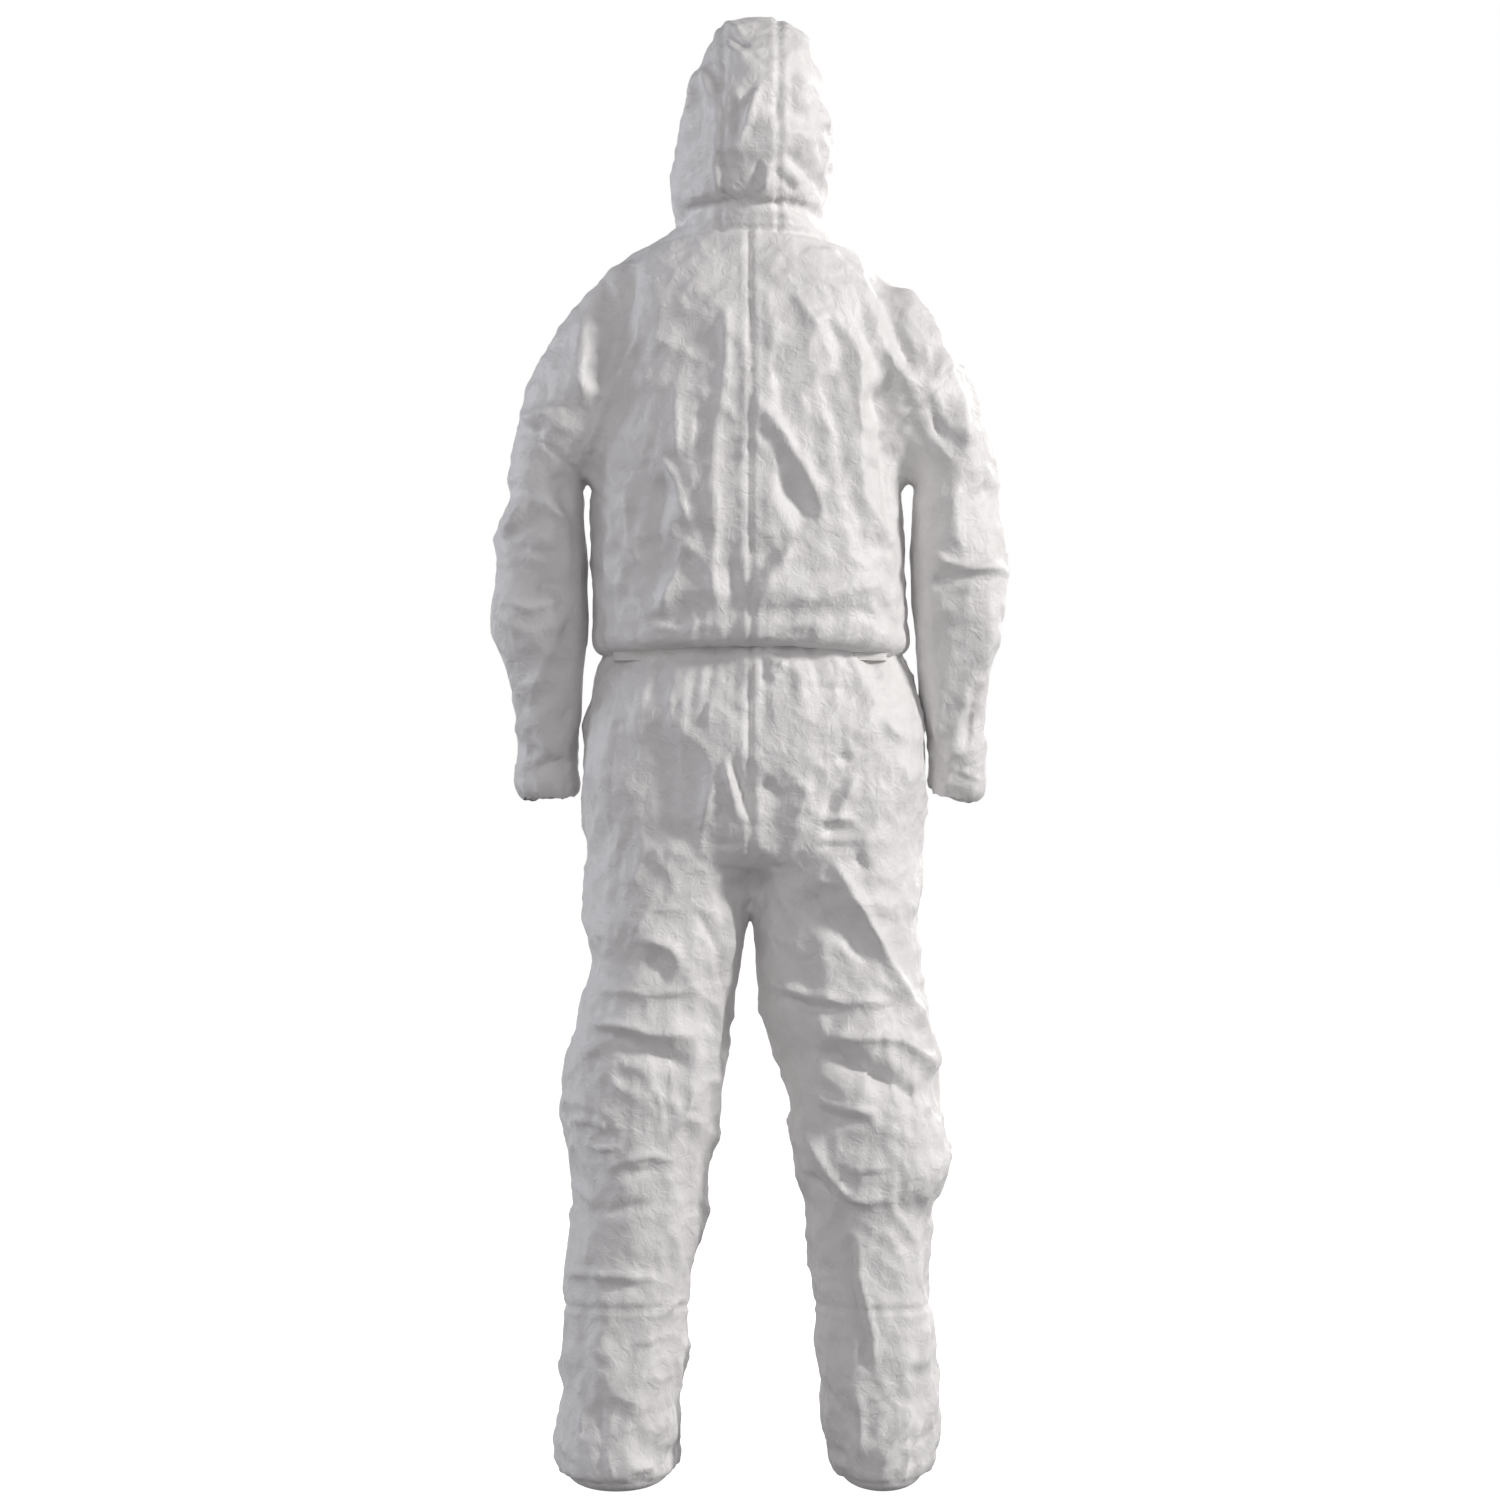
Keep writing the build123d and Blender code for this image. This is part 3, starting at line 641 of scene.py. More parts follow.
# Folds -------------------------------------------------------------------------------------------
# Ridges (+) and valleys (-) on the back, seen from behind: height, width, then x and z of each point, in
# millimetres
FOLDS = [
    # back and shoulders
    (12, 17, 145, 1495, 197, 1428, 203, 1364, 200, 1310), (-11, 14, 136, 1488, 166, 1394, 190, 1330),
    (8, 9, 123, 1404, 156, 1364, 189, 1283, 194, 1255), (-7, 14, 129, 1394, 157, 1337, 161, 1270),
    (6, 7, 106, 1256, 69, 1169), (-7, 15, 102, 1235, 110, 1160, 116, 1101), (6, 8, 69, 1165, 116, 1060),
    (-5, 6, 125, 1057, 79, 1052), (4, 7, 32, 1438, 34, 1338, 45, 1237, 45, 1060),
    (-7, 12, 25, 1134, 15, 1056),
    (-6, 16, -30, 1400, -34, 1330), (9, 11, -9, 1323, -53, 1252, -95, 1171),
    (-10, 20, -20, 1270, -52, 1215, -88, 1165),
    (5, 12, -46, 1471, -103, 1357), (-7, 11, -90, 1428, -120, 1372),
    (10, 13, -128, 1397, -130, 1237, -168, 1142),
    (-10, 14, -150, 1351, -168, 1237, -172, 1152), (-13, 14, -150, 1495, -181, 1397, -200, 1351),
    (9, 12, -130, 1482, -164, 1388, -205, 1333), (8, 11, -171, 1471, -214, 1428, -240, 1380),
    (-7, 14, -46, 1165, -5, 1105), (6, 8, -53, 1152, -8, 1072), (7, 22, -10, 1072, -175, 1102),
    (5, 14, 175, 1200, 150, 1080), (4, 6, 90, 1340, 84, 1240), (-4, 8, 60, 1330, 64, 1250),
    (3, 5, 150, 1225, 142, 1120),
    # left sleeve
    (9, 8, 265, 1209, 302, 1155), (9, 8, 265, 1209, 225, 1177, 220, 1132, 217, 1084),
    (-8, 14, 228, 1222, 214, 1190),
    (-7, 8, 300, 1143, 233, 1140), (8, 6, 316, 1084, 270, 1073, 222, 1084), (-7, 8, 262, 1098, 227, 1098),
    (6, 12, 222, 1070, 250, 1000, 270, 950), (-5, 7, 279, 870, 212, 890), (7, 9, 285, 1300, 240, 1312),
    (-7, 9, 284, 1284, 240, 1290),
    (6, 8, 262, 1380, 272, 1320), (-6, 9, 247, 1372, 256, 1300), (4, 7, 262, 930, 236, 880),
    # right sleeve
    (9, 8, -195, 1137, -248, 1127, -319, 1116), (-11, 10, -205, 1118, -230, 1105, -292, 1114),
    (8, 11, -245, 1238, -248, 1190, -258, 1129), (5, 8, -216, 1238, -206, 1190),
    (6, 9, -308, 1056, -267, 998),
    (6, 9, -264, 990, -246, 897), (-6, 9, -278, 985, -264, 897), (4, 7, -230, 985, -228, 897),
    (5, 5, -250, 876, -288, 856),
    (8, 10, -232, 1395, -255, 1330, -262, 1250), (-7, 10, -214, 1330, -236, 1268),
    (-6, 10, -286, 1240, -296, 1165),
    # seat
    (9, 8, 32, 896, 21, 847, 12, 806), (-10, 9, 19, 892, 6, 812), (6, 9, 45, 880, 58, 800, 63, 765),
    (-5, 5, 45, 787, 8, 787),
    (-9, 18, -8, 865, -50, 832), (8, 6, -50, 858, -69, 847, -48, 811), (5, 5, -75, 860, -70, 815),
    (-7, 6, -106, 896, -124, 883),
    (-9, 12, -127, 879, -86, 811), (9, 10, -139, 873, -100, 808), (-9, 7, -80, 802, -141, 802),
    (7, 6, -78, 815, -140, 815),
    (-9, 7, -77, 783, -140, 786), (5, 5, -156, 947, -124, 907), (5, 5, -156, 936, -184, 907),
    (-4, 7, -63, 977, -135, 971),
    (5, 5, -43, 1012, -25, 971), (4, 4, -36, 1012, -20, 980), (3, 4, 97, 983, 93, 919),
    (4, 5, 42, 968, 50, 924),
    (-7, 32, 112, 930, 96, 770), (6, 22, 175, 930, 170, 780), (6, 12, -190, 890, -176, 820),
    # left leg
    (5, 5, 118, 715, 147, 672), (9, 10, 147, 670, 108, 666, 75, 630), (-9, 15, 125, 649, 93, 618),
    (-6, 6, 63, 707, 44, 661),
    (8, 8, 26, 720, 32, 643, 41, 590, 44, 514, 40, 437), (5, 5, 188, 606, 63, 606),
    (10, 7, 200, 571, 130, 559, 63, 555),
    (-12, 13, 200, 556, 123, 538, 65, 508), (6, 5, 157, 553, 213, 526), (6, 5, 63, 499, 100, 428),
    (4, 5, 108, 492, 108, 440),
    (7, 6, 227, 446, 176, 446, 203, 421), (6, 4, 203, 419, 157, 421), (-7, 8, 195, 434, 160, 434),
    (6, 5, 176, 394, 123, 410, 87, 404),
    (-6, 8, 165, 383, 110, 392), (6, 6, 215, 376, 184, 343), (-7, 9, 194, 337, 118, 351),
    (6, 5, 229, 263, 150, 263, 109, 256),
    (-5, 6, 190, 252, 118, 248), (5, 4, 77, 235, 119, 214), (4, 6, 189, 322, 199, 268),
    (5, 7, 205, 151, 205, 32), (5, 7, 196, 190, 176, 160),
    (5, 4, 146, 30, 113, 33), (5, 5, 172, 59, 166, 12), (3, 4, 153, 183, 77, 190),
    (3, 4, 140, 137, 84, 141), (-5, 9, 182, 120, 178, 60),
    # right leg
    (12, 10, -98, 770, -134, 713, -187, 606, -208, 565, -232, 495),
    (-10, 27, -58, 734, -109, 682, -158, 618),
    (6, 5, -76, 746, -119, 731), (-7, 6, -125, 780, -145, 750), (4, 4, -33, 672, -55, 670),
    (10, 7, -21, 620, -64, 606, -115, 598, -171, 595),
    (-9, 6, -33, 603, -74, 591, -109, 592), (-15, 13, -80, 540, -125, 520, -183, 492, -217, 470),
    (9, 8, -80, 556, -183, 546, -232, 497),
    (9, 6, -64, 486, -109, 468, -156, 461), (-11, 7, -68, 470, -109, 454, -152, 448),
    (-9, 8, -222, 468, -222, 398), (5, 4, -113, 394, -177, 398),
    (9, 8, -58, 458, -98, 392, -119, 364, -156, 352), (-10, 14, -58, 390, -105, 352),
    (7, 6, -130, 318, -140, 224, -153, 141),
    (-8, 6, -118, 316, -128, 224, -143, 141), (7, 7, -130, 138, -138, 26), (7, 9, -203, 105, -147, 26),
    (-8, 5, -222, 91, -187, 16),
    (6, 5, -212, 96, -176, 22), (6, 7, -218, 214, -206, 138), (-4, 12, -200, 128, -138, 105),
    # hood
    (8, 6, 57, 1734, 84, 1656), (8, 6, 57, 1734, 41, 1664), (-9, 12, 60, 1704, 62, 1628),
    (8, 5, -15, 1709, 9, 1646, 22, 1622),
    (4, 4, 20, 1705, 11, 1668), (-7, 8, 18, 1690, 20, 1640), (6, 5, -26, 1611, -16, 1570),
    (-5, 6, -12, 1610, -4, 1572),
    (-9, 10, -41, 1626, -68, 1603, -92, 1574), (6, 9, -82, 1690, -94, 1646), (6, 4, 79, 1573, 44, 1573),
    (-7, 6, 40, 1573, 16, 1562),
    (4, 5, 30, 1785, 5, 1765), (-4, 6, 25, 1770, 0, 1748), (4, 5, 26, 1755, 4, 1734),
    (5, 12, -60, 1730, -66, 1660), (-4, 8, -30, 1600, -70, 1565),
]


def line_distance(x, z, points):
    """Distance from a polyline, and how far along it the nearest point is."""
    best, along, walked = np.full(len(x), 1e9), np.zeros(len(x)), 0.0
    for (ax, az), (bx, bz) in zip(points, points[1:]):
        dx, dz = bx - ax, bz - az
        length = math.hypot(dx, dz)
        t = np.clip(((x - ax) * dx + (z - az) * dz) / length**2, 0, 1)
        gap = np.hypot(x - ax - t * dx, z - az - t * dz)
        closer = gap < best
        best[closer] = gap[closer]
        along[closer] = walked + t[closer] * length
        walked += length
    return best, along, walked


def stroked(p, n):
    """Height of the listed folds on the surfaces that face back."""
    height = np.zeros(len(p))
    facing = smooth((n[:, 1] + 0.05) / 0.45)
    # real folds are never quite straight or even
    x, z = (p[:, k] + 0.006 * wave(p, 15, 61 + k) + 0.0025 * wave(p, 41, 64 + k) for k in (0, 2))
    vigour = 0.9 + 0.45 * wave(p, 19, 68)
    for tall, wide, *rest in FOLDS:
        points = np.array(rest, float).reshape(-1, 2) / 1000
        if len(points) > 2:
            points = catmull(points, 4)
        wide = wide / 1000
        near = np.flatnonzero(
            (facing > 0) & (x > points[:, 0].min() - 3 * wide) & (x < points[:, 0].max() + 3 * wide)
            & (z > points[:, 1].min() - 3 * wide) & (z < points[:, 1].max() + 3 * wide))
        if not len(near):
            continue
        gap, along, length = line_distance(x[near], z[near], points)
        taper = smooth(np.minimum(along, length - along) / min(0.035, length / 2.5) + 0.1)
        crisp = np.exp(-gap / (0.75 * wide))
        height[near] += 1.3 * tall / 1000 * taper * (0.4 * bell(gap, wide) + 0.6 * crisp)
    return height * facing * vigour


def ring_angle(p):
    return np.arctan2(p[:, 1] - 0.03, p[:, 0])


def pleats(along, spacing, seed):
    """Uneven small gathers along a length, from -1 to 1."""
    line = np.stack([along / spacing, np.zeros_like(along), np.full_like(along, seed)], axis=1)
    return wave(line, 1.0, seed) + 0.5 * wave(line, 2.1, seed + 1)


def seam_relief(s):
    """A sewn seam: a narrow groove with the turned-in layers raised beside it."""
    return -0.0022 * bell(s, 0.0035) + 0.0011 * bell(np.abs(s) - 0.008, 0.0045)


def puckers(s, along, seed):
    return 0.0011 * bell(s, 0.016) * pleats(along, 0.011, seed)


def crumple(p, n, amount):
    """Sharp-ridged creasing over everything, larger where there are no listed folds."""
    unseen = smooth((0.35 - n[:, 1]) / 0.5)
    large = (0.2 - creases(p, 8.0, 11)) * (0.010 + 0.014 * unseen)
    middle = (0.2 - creases(p, 19.0, 23)) * 0.0085
    small = (0.2 - creases(p, 43.0, 37)) * 0.0035
    return (large + middle + small) * amount


def level_field(z):
    return lambda p: p[:, 2] - z


def strip_field(x):
    return lambda p: p[:, 0] - x


def zip_out(p):
    return (p - THROAT) @ ZIP_OUT


def zip_along(p):
    return (p - THROAT) @ ZIP_UP


THROAT, ZIP_FOOT = np.array([0, -0.071, 1.492]), np.array([0, -0.103, 0.868])
ZIP_LENGTH = np.linalg.norm(THROAT - ZIP_FOOT)
ZIP_UP = (THROAT - ZIP_FOOT) / ZIP_LENGTH
ZIP_OUT = np.array([0, -ZIP_UP[2], ZIP_UP[1]])
SLOT = 0.008
FACE_CENTRE = FACE_POINT + 0.111 * np.array([0, 26, 215]) / math.hypot(26, 215)
FACE_UP = np.array([0, 26, 215]) / math.hypot(26, 215)


def flattened(p, n, depth):
    """The front strip that carries the zip lies in the zip's plane."""
    share = smooth((0.085 - np.abs(p[:, 0])) / 0.035) * smooth((-0.1 - n[:, 1]) / 0.3) * (p[:, 1] < -0.03)
    share *= smooth((1.515 - p[:, 2]) / 0.03) * smooth((p[:, 2] - 0.80) / 0.05)
    return p + np.outer(share * (depth - zip_out(p)), ZIP_OUT), share


def first_place(obj):
    co = np.empty(len(obj.data.vertices) * 3)
    obj.data.attributes["first"].data.foreach_get("vector", co)
    return co.reshape(-1, 3)


def finish_top(obj):
    p, n, first = coords(obj), normals(obj), first_place(obj)
    flat_share = flattened(p, n, 0)[1]
    beside_arm = smooth((0.03 - np.abs(np.abs(p[:, 0]) - 0.2)) / 0.02)
    arm_gap = 1 - 0.75 * beside_arm * smooth((1.25 - p[:, 2]) / 0.03)
    calm = (1 - flat_share) * arm_gap * smooth((np.abs(neck_field(first)) - 0.004) / 0.02)
    hem = smooth((1.04 - p[:, 2]) / 0.015) * (np.abs(p[:, 0]) < 0.2)
    height = (stroked(p, n) * arm_gap + crumple(p, n, 1.0)) * calm * (1 - 0.8 * hem)
    turn = ring_angle(p)
    waist = bell(p[:, 2] - 1.035 - hem_arch(p), 0.022) * (np.abs(p[:, 0]) < 0.2)
    height += waist * 0.0028 * pleats(turn * 0.17, 0.017, 3) * (1 - flat_share)
    for side in SIDES:
        gather = bell(p[:, 2] - 0.838, 0.022) * (SIDES[side] * p[:, 0] > 0.2)
        angle = np.arctan2(p[:, 1] + 0.005, p[:, 0] - SIDES[side] * 0.2465)
        height += gather * 0.0022 * pleats(angle * 0.036, 0.009, 5 + SIDES[side])
        near_seam = (SIDES[side] * first[:, 0] > 0.17) & (first[:, 2] > 1.2)
        s = np.where(near_seam, armhole_field(side)(first), 1.0)
        height += seam_relief(s) + puckers(s, p[:, 1] + p[:, 2], 9)
    body = neck_field(first) < 0
    s = np.where(body & (n[:, 1] > 0.2), centre_field(first), 1.0)
    height += seam_relief(s) * 1.3 + puckers(s, p[:, 2], 13)
    s = np.where(body & (np.abs(first[:, 0]) < 0.197) & (first[:, 2] < 1.23), side_field(first), 1.0)
    height += seam_relief(s) + puckers(s, p[:, 2], 14)
    s = neck_field(first)
    height += seam_relief(s) * 1.4 + puckers(s, turn * 0.09, 15)
    height += 0.0025 * bell(s - 0.014, 0.009) - 0.0045 * bell(s - 0.030, 0.006) * smooth(n[:, 1] + 0.6)
    for x in (0.034, -0.034):
        s = np.where((neck_field(first) > 0) & (first[:, 1] > 0), first[:, 0] - x, 1.0)
        height += seam_relief(s) + puckers(s, p[:, 2] + p[:, 1], 16)
    rim = -((p - FACE_POINT) @ FACE_OUT)
    rim_gather = bell(rim, 0.03) * (p[:, 2] > 1.53)
    angle = np.arctan2((p - FACE_CENTRE) @ FACE_UP, p[:, 0])
    height += rim_gather * 0.0025 * pleats(angle * 0.09, 0.013, 17)
    p = p + n * height[:, None]
    p = flattened(p, n, 0)[0]
    set_coords(obj, p)


def finish_trousers(obj):
    p, n, first = coords(obj), normals(obj), first_place(obj)
    flat_share = flattened(p, n, 0)[1]
    sole = smooth((0.02 - p[:, 2]) / 0.01)
    crotch = smooth(np.hypot(p[:, 0], p[:, 2] - 0.77) / 0.05)
    calm = (1 - flat_share) * (1 - sole) * (0.3 + 0.7 * crotch)
    height = (stroked(p, n) + crumple(p, n, 1.0)) * calm
    turn = ring_angle(p)
    waist = smooth((p[:, 2] - 0.93) / 0.07)
    height += waist * 0.0042 * pleats(turn * 0.18, 0.019, 21) * (1 - flat_share)
    height += bell(p[:, 2] - 0.95, 0.05) * 0.003 * pleats(turn * 0.18, 0.034, 22) * (1 - flat_share)
    s = np.where((first[:, 2] > 0.772) & (n[:, 1] > 0.0), centre_field(first), 1.0)
    height += seam_relief(s) * 1.2 + puckers(s, p[:, 2], 23)
    s = np.where((first[:, 2] > 0.226), side_field(first), 1.0)
    height += (seam_relief(s) + puckers(s, p[:, 2], 24)) * smooth((np.abs(p[:, 0]) - 0.02) / 0.02)
    s = first[:, 2] - 0.226
    height += seam_relief(s) * 0.8 + puckers(s, turn * 0.1, 25)
    s = first[:, 2] - 0.012
    height += seam_relief(s) * 0.8
    p = p + n * height[:, None]
    lap = smooth((p[:, 2] - 1.0) / 0.02) * -0.004
    p = flattened(p, n, lap)[0]
    p[:, 2] = np.maximum(p[:, 2], 0.0004)
    set_coords(obj, p)


finish_top(top)
finish_trousers(trousers)


# Panels --------------------------------------------------------------------------------------------
CLOTH_THICK = 0.0006
ELBOW_CUT, THIGH_CUT, SOCK_SEAM, SOLE_SEAM = 1.150, 0.605, 0.226, 0.012


def shoulder_shares(p):
    """How far past the shoulder each point is, and how far above the place where the sleeve is cut."""
    return smooth((np.abs(p[:, 0]) - 0.165) / 0.09), smooth((p[:, 2] - ELBOW_CUT - 0.002) / 0.075)


def body_share(p):
    beyond, above = shoulder_shares(p)
    return beyond * above


def sleeve_share(p):
    beyond, above = shoulder_shares(p)
    return 1 - (1 - beyond) * above


def elbow_share(p):
    return smooth((1.143 - p[:, 2]) / 0.12)


def hood_share(p):
    return smooth(neck_field(p) / 0.11)


def hip_share(p):
    down = smooth((0.885 - p[:, 2]) / (0.885 - THIGH_CUT - 0.002))
    outer = smooth(np.abs(p[:, 0]) / 0.09)
    return down * (1 - (1 - outer) * (1 - smooth((0.775 - p[:, 2]) / 0.165)))


def knee_share(p):
    return smooth((0.585 - p[:, 2]) / 0.17)


def piece_mesh(name, verts, faces, outs=None):
    """A mesh object; outs gives the shading normal at each corner, or nothing where Blender may choose."""
    mesh = bpy.data.meshes.new(name)
    mesh.from_pydata(np.asarray(verts).tolist(), [], faces)
    mesh.polygons.foreach_set("use_smooth", [True] * len(mesh.polygons))
    if outs is not None:
        mesh.normals_split_custom_set(outs)
    obj = bpy.data.objects.new(name, mesh)
    bpy.context.scene.collection.objects.link(obj)
    return obj


def thickened(name, p, n, faces, thick=CLOTH_THICK):
    """A sheet with a second face and a rim, shaded as part of the whole so that joins don't show."""
    count = len(p)
    edge_uses = {}
    for face in faces:
        for a, b in zip(face, face[1:] + face[:1]):
            edge_uses[(a, b)] = edge_uses.get((a, b), 0) + 1
    rim = [(b, a, a + count, b + count) for a, b in edge_uses if (b, a) not in edge_uses]
    inner = [tuple(i + count for i in reversed(face)) for face in faces]
    outs = [tuple(n[i]) for face in faces for i in face]
    outs += [tuple(-n[i - count]) for face in inner for i in face]
    outs += [(0.0, 0.0, 0.0)] * (4 * len(rim))
    return piece_mesh(name, np.vstack([p, p - n * thick]), faces + inner + rim, outs)


def cut_apart(obj, fields, name_of):
    """Cuts the surface where a field is zero: {name: (points, outward normals, first places, faces)}."""
    editable = bmesh.new()
    editable.from_mesh(obj.data)
    first = editable.verts.layers.float_vector["first"]
    home = editable.verts.layers.float_vector.new("home")
    out = editable.verts.layers.float_vector.new("out")
    for vert, normal in zip(editable.verts, normals(obj)):
        vert[home] = vert.co
        vert[out] = normal
    for field in fields:
        values = field(np.array([vert[first] for vert in editable.verts]))
        for vert, value in zip(editable.verts, values):
            vert.co.x = value
        everything = editable.verts[:] + editable.edges[:] + editable.faces[:]
        bmesh.ops.bisect_plane(editable, geom=everything, dist=0.0004, plane_co=(0, 0, 0), plane_no=(1, 0, 0))
    p, f, n = (np.array([vert[layer] for vert in editable.verts]) for layer in (home, first, out))
    n /= np.maximum(np.linalg.norm(n, axis=1, keepdims=True), 1e-9)
    editable.verts.index_update()
    faces = [tuple(v.index for v in face.verts) for face in editable.faces]
    editable.free()
    names = name_of(np.array([f[list(face)].mean(0) for face in faces]))
    cut = {}
    for name in sorted(set(names) - {""}):
        own = [faces[i] for i in np.flatnonzero(names == name)]
        used = np.unique(np.concatenate([np.array(face) for face in own]))
        new = {old: k for k, old in enumerate(used.tolist())}
        cut[name] = (p[used], n[used], f[used], [tuple(new[i] for i in face) for face in own])
    bpy.data.objects.remove(obj)
    return cut


def cuff_field(side):
    return lambda p: np.where(p[:, 2] < 0.86, cuff_radius(p, side) - 0.031, 1.0)


def face_field(p):
    return np.minimum((p - FACE_POINT) @ FACE_OUT + 0.006, p[:, 2] - 1.541)


def top_names(p):
    names = np.full(len(p), "", dtype="<U24")
    side = np.where(p[:, 0] > 0, "left", "right")
    hood = neck_field(p) > 0
    strip = hood & (np.abs(p[:, 0]) < 0.034) & (p[:, 1] > 0.0)
    names[hood] = np.char.add("hood_side_", side[hood])
    names[strip] = "hood_centre"
    sleeve = (in_sleeve(p, "left") | in_sleeve(p, "right")) & ~hood
    body = ~hood & ~sleeve
    back = side_field(p) > 0
    names[body & back] = np.char.add("back_panel_", side[body & back])
    names[body & ~back] = np.char.add("front_panel_", side[body & ~back])
    low = p[:, 2] < ELBOW_CUT
    names[sleeve & ~low] = np.char.add("sleeve_upper_", side[sleeve & ~low])
    names[sleeve & low] = np.char.add("sleeve_lower_", side[sleeve & low])
    slot = (np.abs(p[:, 0]) < SLOT) & (p[:, 1] < -0.04) & ~hood
    cuff_mouth = (cuff_field("left")(p) < 0) | (cuff_field("right")(p) < 0)
    names[slot | (hood & (face_field(p) > 0)) | cuff_mouth] = ""
    return names


def trouser_names(p):
    side = np.where(centre_field(p) > 0, "left", "right")
    back = np.where(side_field(p) > 0, "back_", "front_")
    names = np.char.add(np.char.add("trouser_", back), side).astype("<U24")
    leg = p[:, 2] < THIGH_CUT
    names[leg] = np.char.add(np.char.add("leg_", back[leg]), side[leg])
    sock = p[:, 2] < SOCK_SEAM
    outer = np.where(np.abs(p[:, 0]) > 0.155, "outer_", "inner_")
    names[sock] = np.char.add(np.char.add("sock_", outer[sock]), side[sock])
    sole = p[:, 2] < SOLE_SEAM
    names[sole] = np.char.add("sole_panel_", side[sole])
    names[(np.abs(p[:, 0]) < SLOT) & (p[:, 1] < -0.04) & (zip_along(p) > -ZIP_LENGTH)] = ""
    return names


zip_slot_fields = [strip_field(SLOT), strip_field(-SLOT)]
top_fields = [
    neck_field, armhole_field("left"), armhole_field("right"), side_field, centre_field,
    strip_field(0.034), strip_field(-0.034), level_field(ELBOW_CUT), face_field,
    cuff_field("left"), cuff_field("right"),
]
made = cut_apart(top, top_fields + zip_slot_fields, top_names)
trouser_fields = [
    centre_field, side_field, level_field(THIGH_CUT), level_field(SOCK_SEAM), level_field(SOLE_SEAM),
    strip_field(0.155), strip_field(-0.155), lambda p: zip_along(p) + ZIP_LENGTH,
]
made.update(cut_apart(trousers, trouser_fields + zip_slot_fields, trouser_names))


# Materials -----------------------------------------------------------------------------------------
def noise_bump(look, where, scale, detail, height, strength, before=None, distortion=0.0):
    """A bump from noise, laid over an earlier bump; returns the normal's socket."""
    grain = look.add("ShaderNodeTexNoise", Scale=scale, Detail=detail, Distortion=distortion)
    look.link(where, grain.inputs["Vector"])
    bump = look.add("ShaderNodeBump", Strength=strength, Distance=height)
    look.link(grain.outputs["Fac"], bump.inputs["Height"])
    if before:
        look.link(before, bump.inputs["Normal"])
    return bump.outputs[0]


def fabric_look(name, dark, light, roughness, grain=1.0, crumple_height=0.0022):
    """Nonwoven laminate: crushed film over flattened fibres, with bond points."""
    material = bpy.data.materials.new(name)
    material.use_nodes = True
    look = Nodes(material.node_tree)
    shader = material.node_tree.nodes["Principled BSDF"]
    shader.inputs["Roughness"].default_value = roughness
    shader.inputs["Sheen Weight"].default_value = 0.15
    shader.inputs["Sheen Roughness"].default_value = 0.5
    where = look.add("ShaderNodeTexCoord").outputs["Object"]
    tone = look.add("ShaderNodeTexNoise", Scale=34.0, Detail=5.0)
    look.link(where, tone.inputs["Vector"])
    ramp = look.add("ShaderNodeValToRGB")
    ramp.color_ramp.elements[0].position, ramp.color_ramp.elements[1].position = 0.35, 0.65
    ramp.color_ramp.elements[0].color = (*dark, 1)
    ramp.color_ramp.elements[1].color = (*light, 1)
    look.link(tone.outputs["Fac"], ramp.inputs[0])
    look.link(ramp.outputs[0], shader.inputs["Base Color"])
    normal = noise_bump(look, where, 75, 4, crumple_height, 0.8, distortion=1.2)
    normal = noise_bump(look, where, 260, 3, 0.0006, 0.35 * grain, normal, 0.6)
    bonds = look.add("ShaderNodeTexVoronoi", Scale=620.0)
    look.link(where, bonds.inputs["Vector"])
    emboss = look.add("ShaderNodeBump", Strength=0.22 * grain, Distance=0.00025)
    look.link(bonds.outputs["Distance"], emboss.inputs["Height"])
    look.link(normal, emboss.inputs["Normal"])
    look.link(emboss.outputs[0], shader.inputs["Normal"])
    return material


def plain_look(name, dark, light, roughness, metallic=0.0, scale=300.0, height=0.0001):
    material = bpy.data.materials.new(name)
    material.use_nodes = True
    look = Nodes(material.node_tree)
    shader = material.node_tree.nodes["Principled BSDF"]
    shader.inputs["Metallic"].default_value = metallic
    where = look.add("ShaderNodeTexCoord").outputs["Object"]
    tone = look.add("ShaderNodeTexNoise", Scale=scale, Detail=4.0)
    look.link(where, tone.inputs["Vector"])
    ramp = look.add("ShaderNodeValToRGB")
    ramp.color_ramp.elements[0].color = (*dark, 1)
    ramp.color_ramp.elements[1].color = (*light, 1)
    look.link(tone.outputs["Fac"], ramp.inputs[0])
    look.link(ramp.outputs[0], shader.inputs["Base Color"])
    rough = look.add("ShaderNodeMapRange")
    rough.inputs["To Min"].default_value = roughness - 0.06
    rough.inputs["To Max"].default_value = roughness + 0.08
    look.link(tone.outputs["Fac"], rough.inputs["Value"])
    look.link(rough.outputs[0], shader.inputs["Roughness"])
    look.link(noise_bump(look, where, scale * 2.3, 3, height, 0.5), shader.inputs["Normal"])
    return material


